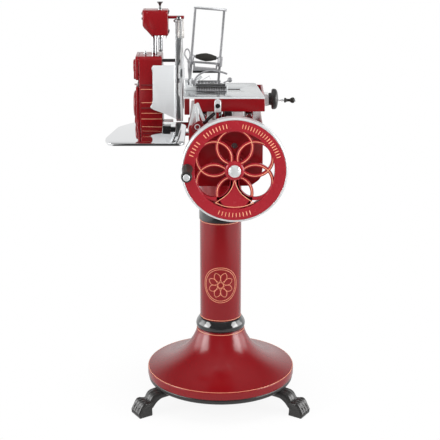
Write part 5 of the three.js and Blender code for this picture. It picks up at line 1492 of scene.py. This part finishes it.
def add_light(name, place, size, watts, shines):
    """A rectangular lamp that looks at the object's middle."""
    lamp = bpy.data.lights.new(name, "AREA")
    lamp.shape = "RECTANGLE"
    lamp.size, lamp.size_y = size
    lamp.energy = watts
    light = bpy.data.objects.new(name, lamp)
    bpy.context.scene.collection.objects.link(light)
    light.visible_glossy = shines
    light.location = place
    light.rotation_euler = (LIGHT_AIM - Vector(place)).to_track_quat("-Z", "Y").to_euler()


def fade_node(tree, value, fade):
    """A value's smooth fade."""
    low, high, first, last = fade
    made = node(tree, "ShaderNodeMapRange", Value=value)
    made.interpolation_type = "SMOOTHSTEP"
    return fill(tree, made, From_Min=low, From_Max=high, To_Min=first, To_Max=last).outputs["Result"]


def ray_kinds(tree):
    """Whether a ray comes straight or through glass, and whether it comes off a shiny surface."""
    rays = node(tree, "ShaderNodeLightPath").outputs
    seen = math_node(tree, "MAXIMUM", rays["Is Camera Ray"], rays["Is Transmission Ray"])
    return seen, rays["Is Glossy Ray"]


def make_world():
    """A plain sky, white behind, darker on the camera's side for what shines."""
    world = bpy.data.worlds.new("Studio")
    bpy.context.scene.world = world
    world.use_nodes = True
    tree = world.node_tree
    coords = node(tree, "ShaderNodeTexCoord")
    x, y, z = node(tree, "ShaderNodeSeparateXYZ", Vector=coords.outputs["Generated"]).outputs
    low = fade_node(tree, z, SKY_FADES["low"])
    behind = math_node(tree, "MULTIPLY", fade_node(tree, y, SKY_FADES["behind"]), low)
    band = fade_node(tree, math_node(tree, "ABSOLUTE", x), SKY_FADES["beside"])
    beside = math_node(tree, "MULTIPLY", band, low)
    above = fade_node(tree, z, SKY_FADES["above"])
    shine = math_node(tree, "MAXIMUM", math_node(tree, "MAXIMUM", behind, beside), above)
    seen, glossy = ray_kinds(tree)
    base = math_node(tree, "MULTIPLY", sizes("stage").sky, math_node(tree, "SUBTRACT", 1.0, glossy))
    both = math_node(tree, "ADD", base, math_node(tree, "MULTIPLY", shine, glossy))
    fill(tree, tree.nodes["Background"], Color=(1, 1, 1, 1), Strength=math_node(tree, "MAXIMUM", both, seen))


def make_floor():
    """A pale floor that keeps the object's shadow and fades to white."""
    bm = bmesh.new()
    bmesh.ops.create_grid(bm, x_segments=1, y_segments=1, size=sizes("stage").floor / 2)
    mesh = bpy.data.meshes.new("floor")
    bm.to_mesh(mesh)
    bm.free()
    floor = bpy.data.objects.new("floor", mesh)
    bpy.context.scene.collection.objects.link(floor)
    material = bpy.data.materials.new("pale floor")
    material.use_nodes = True
    mesh.materials.append(material)
    tree = material.node_tree
    shader = fill(tree, tree.nodes["Principled BSDF"], Base_Color=opaque(FLOOR_GREY),
                  Roughness=FLOOR_ROUGHNESS)
    place = node(tree, "ShaderNodeTexCoord").outputs["Object"]
    x, y, _z = node(tree, "ShaderNodeSeparateXYZ", Vector=place).outputs
    reach = tree.nodes.new("ShaderNodeVectorMath")
    reach.operation = "LENGTH"
    tree.links.new(place, reach.inputs[0])
    seen, glossy = ray_kinds(tree)
    outwards = fade_node(tree, reach.outputs["Value"], FLOOR_FADES["outwards"])
    ahead = fade_node(tree, y, FLOOR_FADES["ahead"])
    beside = fade_node(tree, math_node(tree, "ABSOLUTE", x), FLOOR_FADES["beside"])
    shine = math_node(tree, "MAXIMUM", ahead, beside)
    glow = node(tree, "ShaderNodeEmission", Strength=math_node(tree, "MAXIMUM", seen, shine))
    share = math_node(tree, "MAXIMUM", glossy, math_node(tree, "MULTIPLY", outwards, seen))
    mix = node(tree, "ShaderNodeMixShader", Fac=share)
    tree.links.new(shader.outputs[0], mix.inputs[1])
    tree.links.new(glow.outputs[0], mix.inputs[2])
    fill(tree, tree.nodes["Material Output"], Surface=mix.outputs[0])


class SLICER_OT_stage(bpy.types.Operator):
    """Set the floor, the soft lights, the sky and the camera"""
    bl_idname = "slicer.stage"
    bl_label = "Stage"

    def execute(self, context):
        own, scene = sizes("stage"), context.scene
        scene.view_settings.view_transform = "Standard"
        make_world()
        make_floor()
        for name, place, size, label, shines in LIGHTS:
            add_light(name, place, size, getattr(own, label), shines)
        camera = bpy.data.objects.new("camera", bpy.data.cameras.new("camera"))
        scene.collection.objects.link(camera)
        camera.data.lens = own.lens
        camera.data.sensor_width = SENSOR_WIDTH
        camera.location = own.place
        camera.rotation_euler = (own.tilt, 0, 0)
        scene.camera = camera
        return {"FINISHED"}


OPERATORS = (
    SLICER_OT_pedestal, SLICER_OT_feet, SLICER_OT_frame, SLICER_OT_flywheel, SLICER_OT_crank,
    SLICER_OT_drive, SLICER_OT_housing, SLICER_OT_knife, SLICER_OT_sharpener, SLICER_OT_carriage,
    SLICER_OT_feed, SLICER_OT_holder, SLICER_OT_press, SLICER_OT_tray, SLICER_OT_thickness,
    SLICER_OT_fasteners, SLICER_OT_stage,
)


class SLICER_PT_panel(bpy.types.Panel):
    """Lists the steps that build the slicer"""
    bl_idname = "SLICER_PT_panel"
    bl_label = "Hand Crank Meat Slicer"
    bl_space_type = "VIEW_3D"
    bl_region_type = "UI"
    bl_category = "Slicer"

    def draw(self, context):
        for operator in OPERATORS:
            self.layout.operator(operator.bl_idname)
        for group in SIZE_GROUPS:
            own = sizes(group)
            box = self.layout.box()
            for label in own.__annotations__:
                box.prop(own, label)


def register():
    for cls in (*SIZE_GROUPS.values(), *OPERATORS, SLICER_PT_panel):
        bpy.utils.register_class(cls)
    for group, cls in SIZE_GROUPS.items():
        setattr(bpy.types.Scene, "slicer_" + group, PointerProperty(type=cls))


def unregister():
    for group in SIZE_GROUPS:
        delattr(bpy.types.Scene, "slicer_" + group)
    for cls in (SLICER_PT_panel, *OPERATORS[::-1], *SIZE_GROUPS.values()):
        bpy.utils.unregister_class(cls)


def main():
    """Builds every group in order."""
    register()
    for operator in OPERATORS:
        getattr(bpy.ops.slicer, operator.bl_idname.split(".")[1])()
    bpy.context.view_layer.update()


if __name__ == "__main__":
    main()
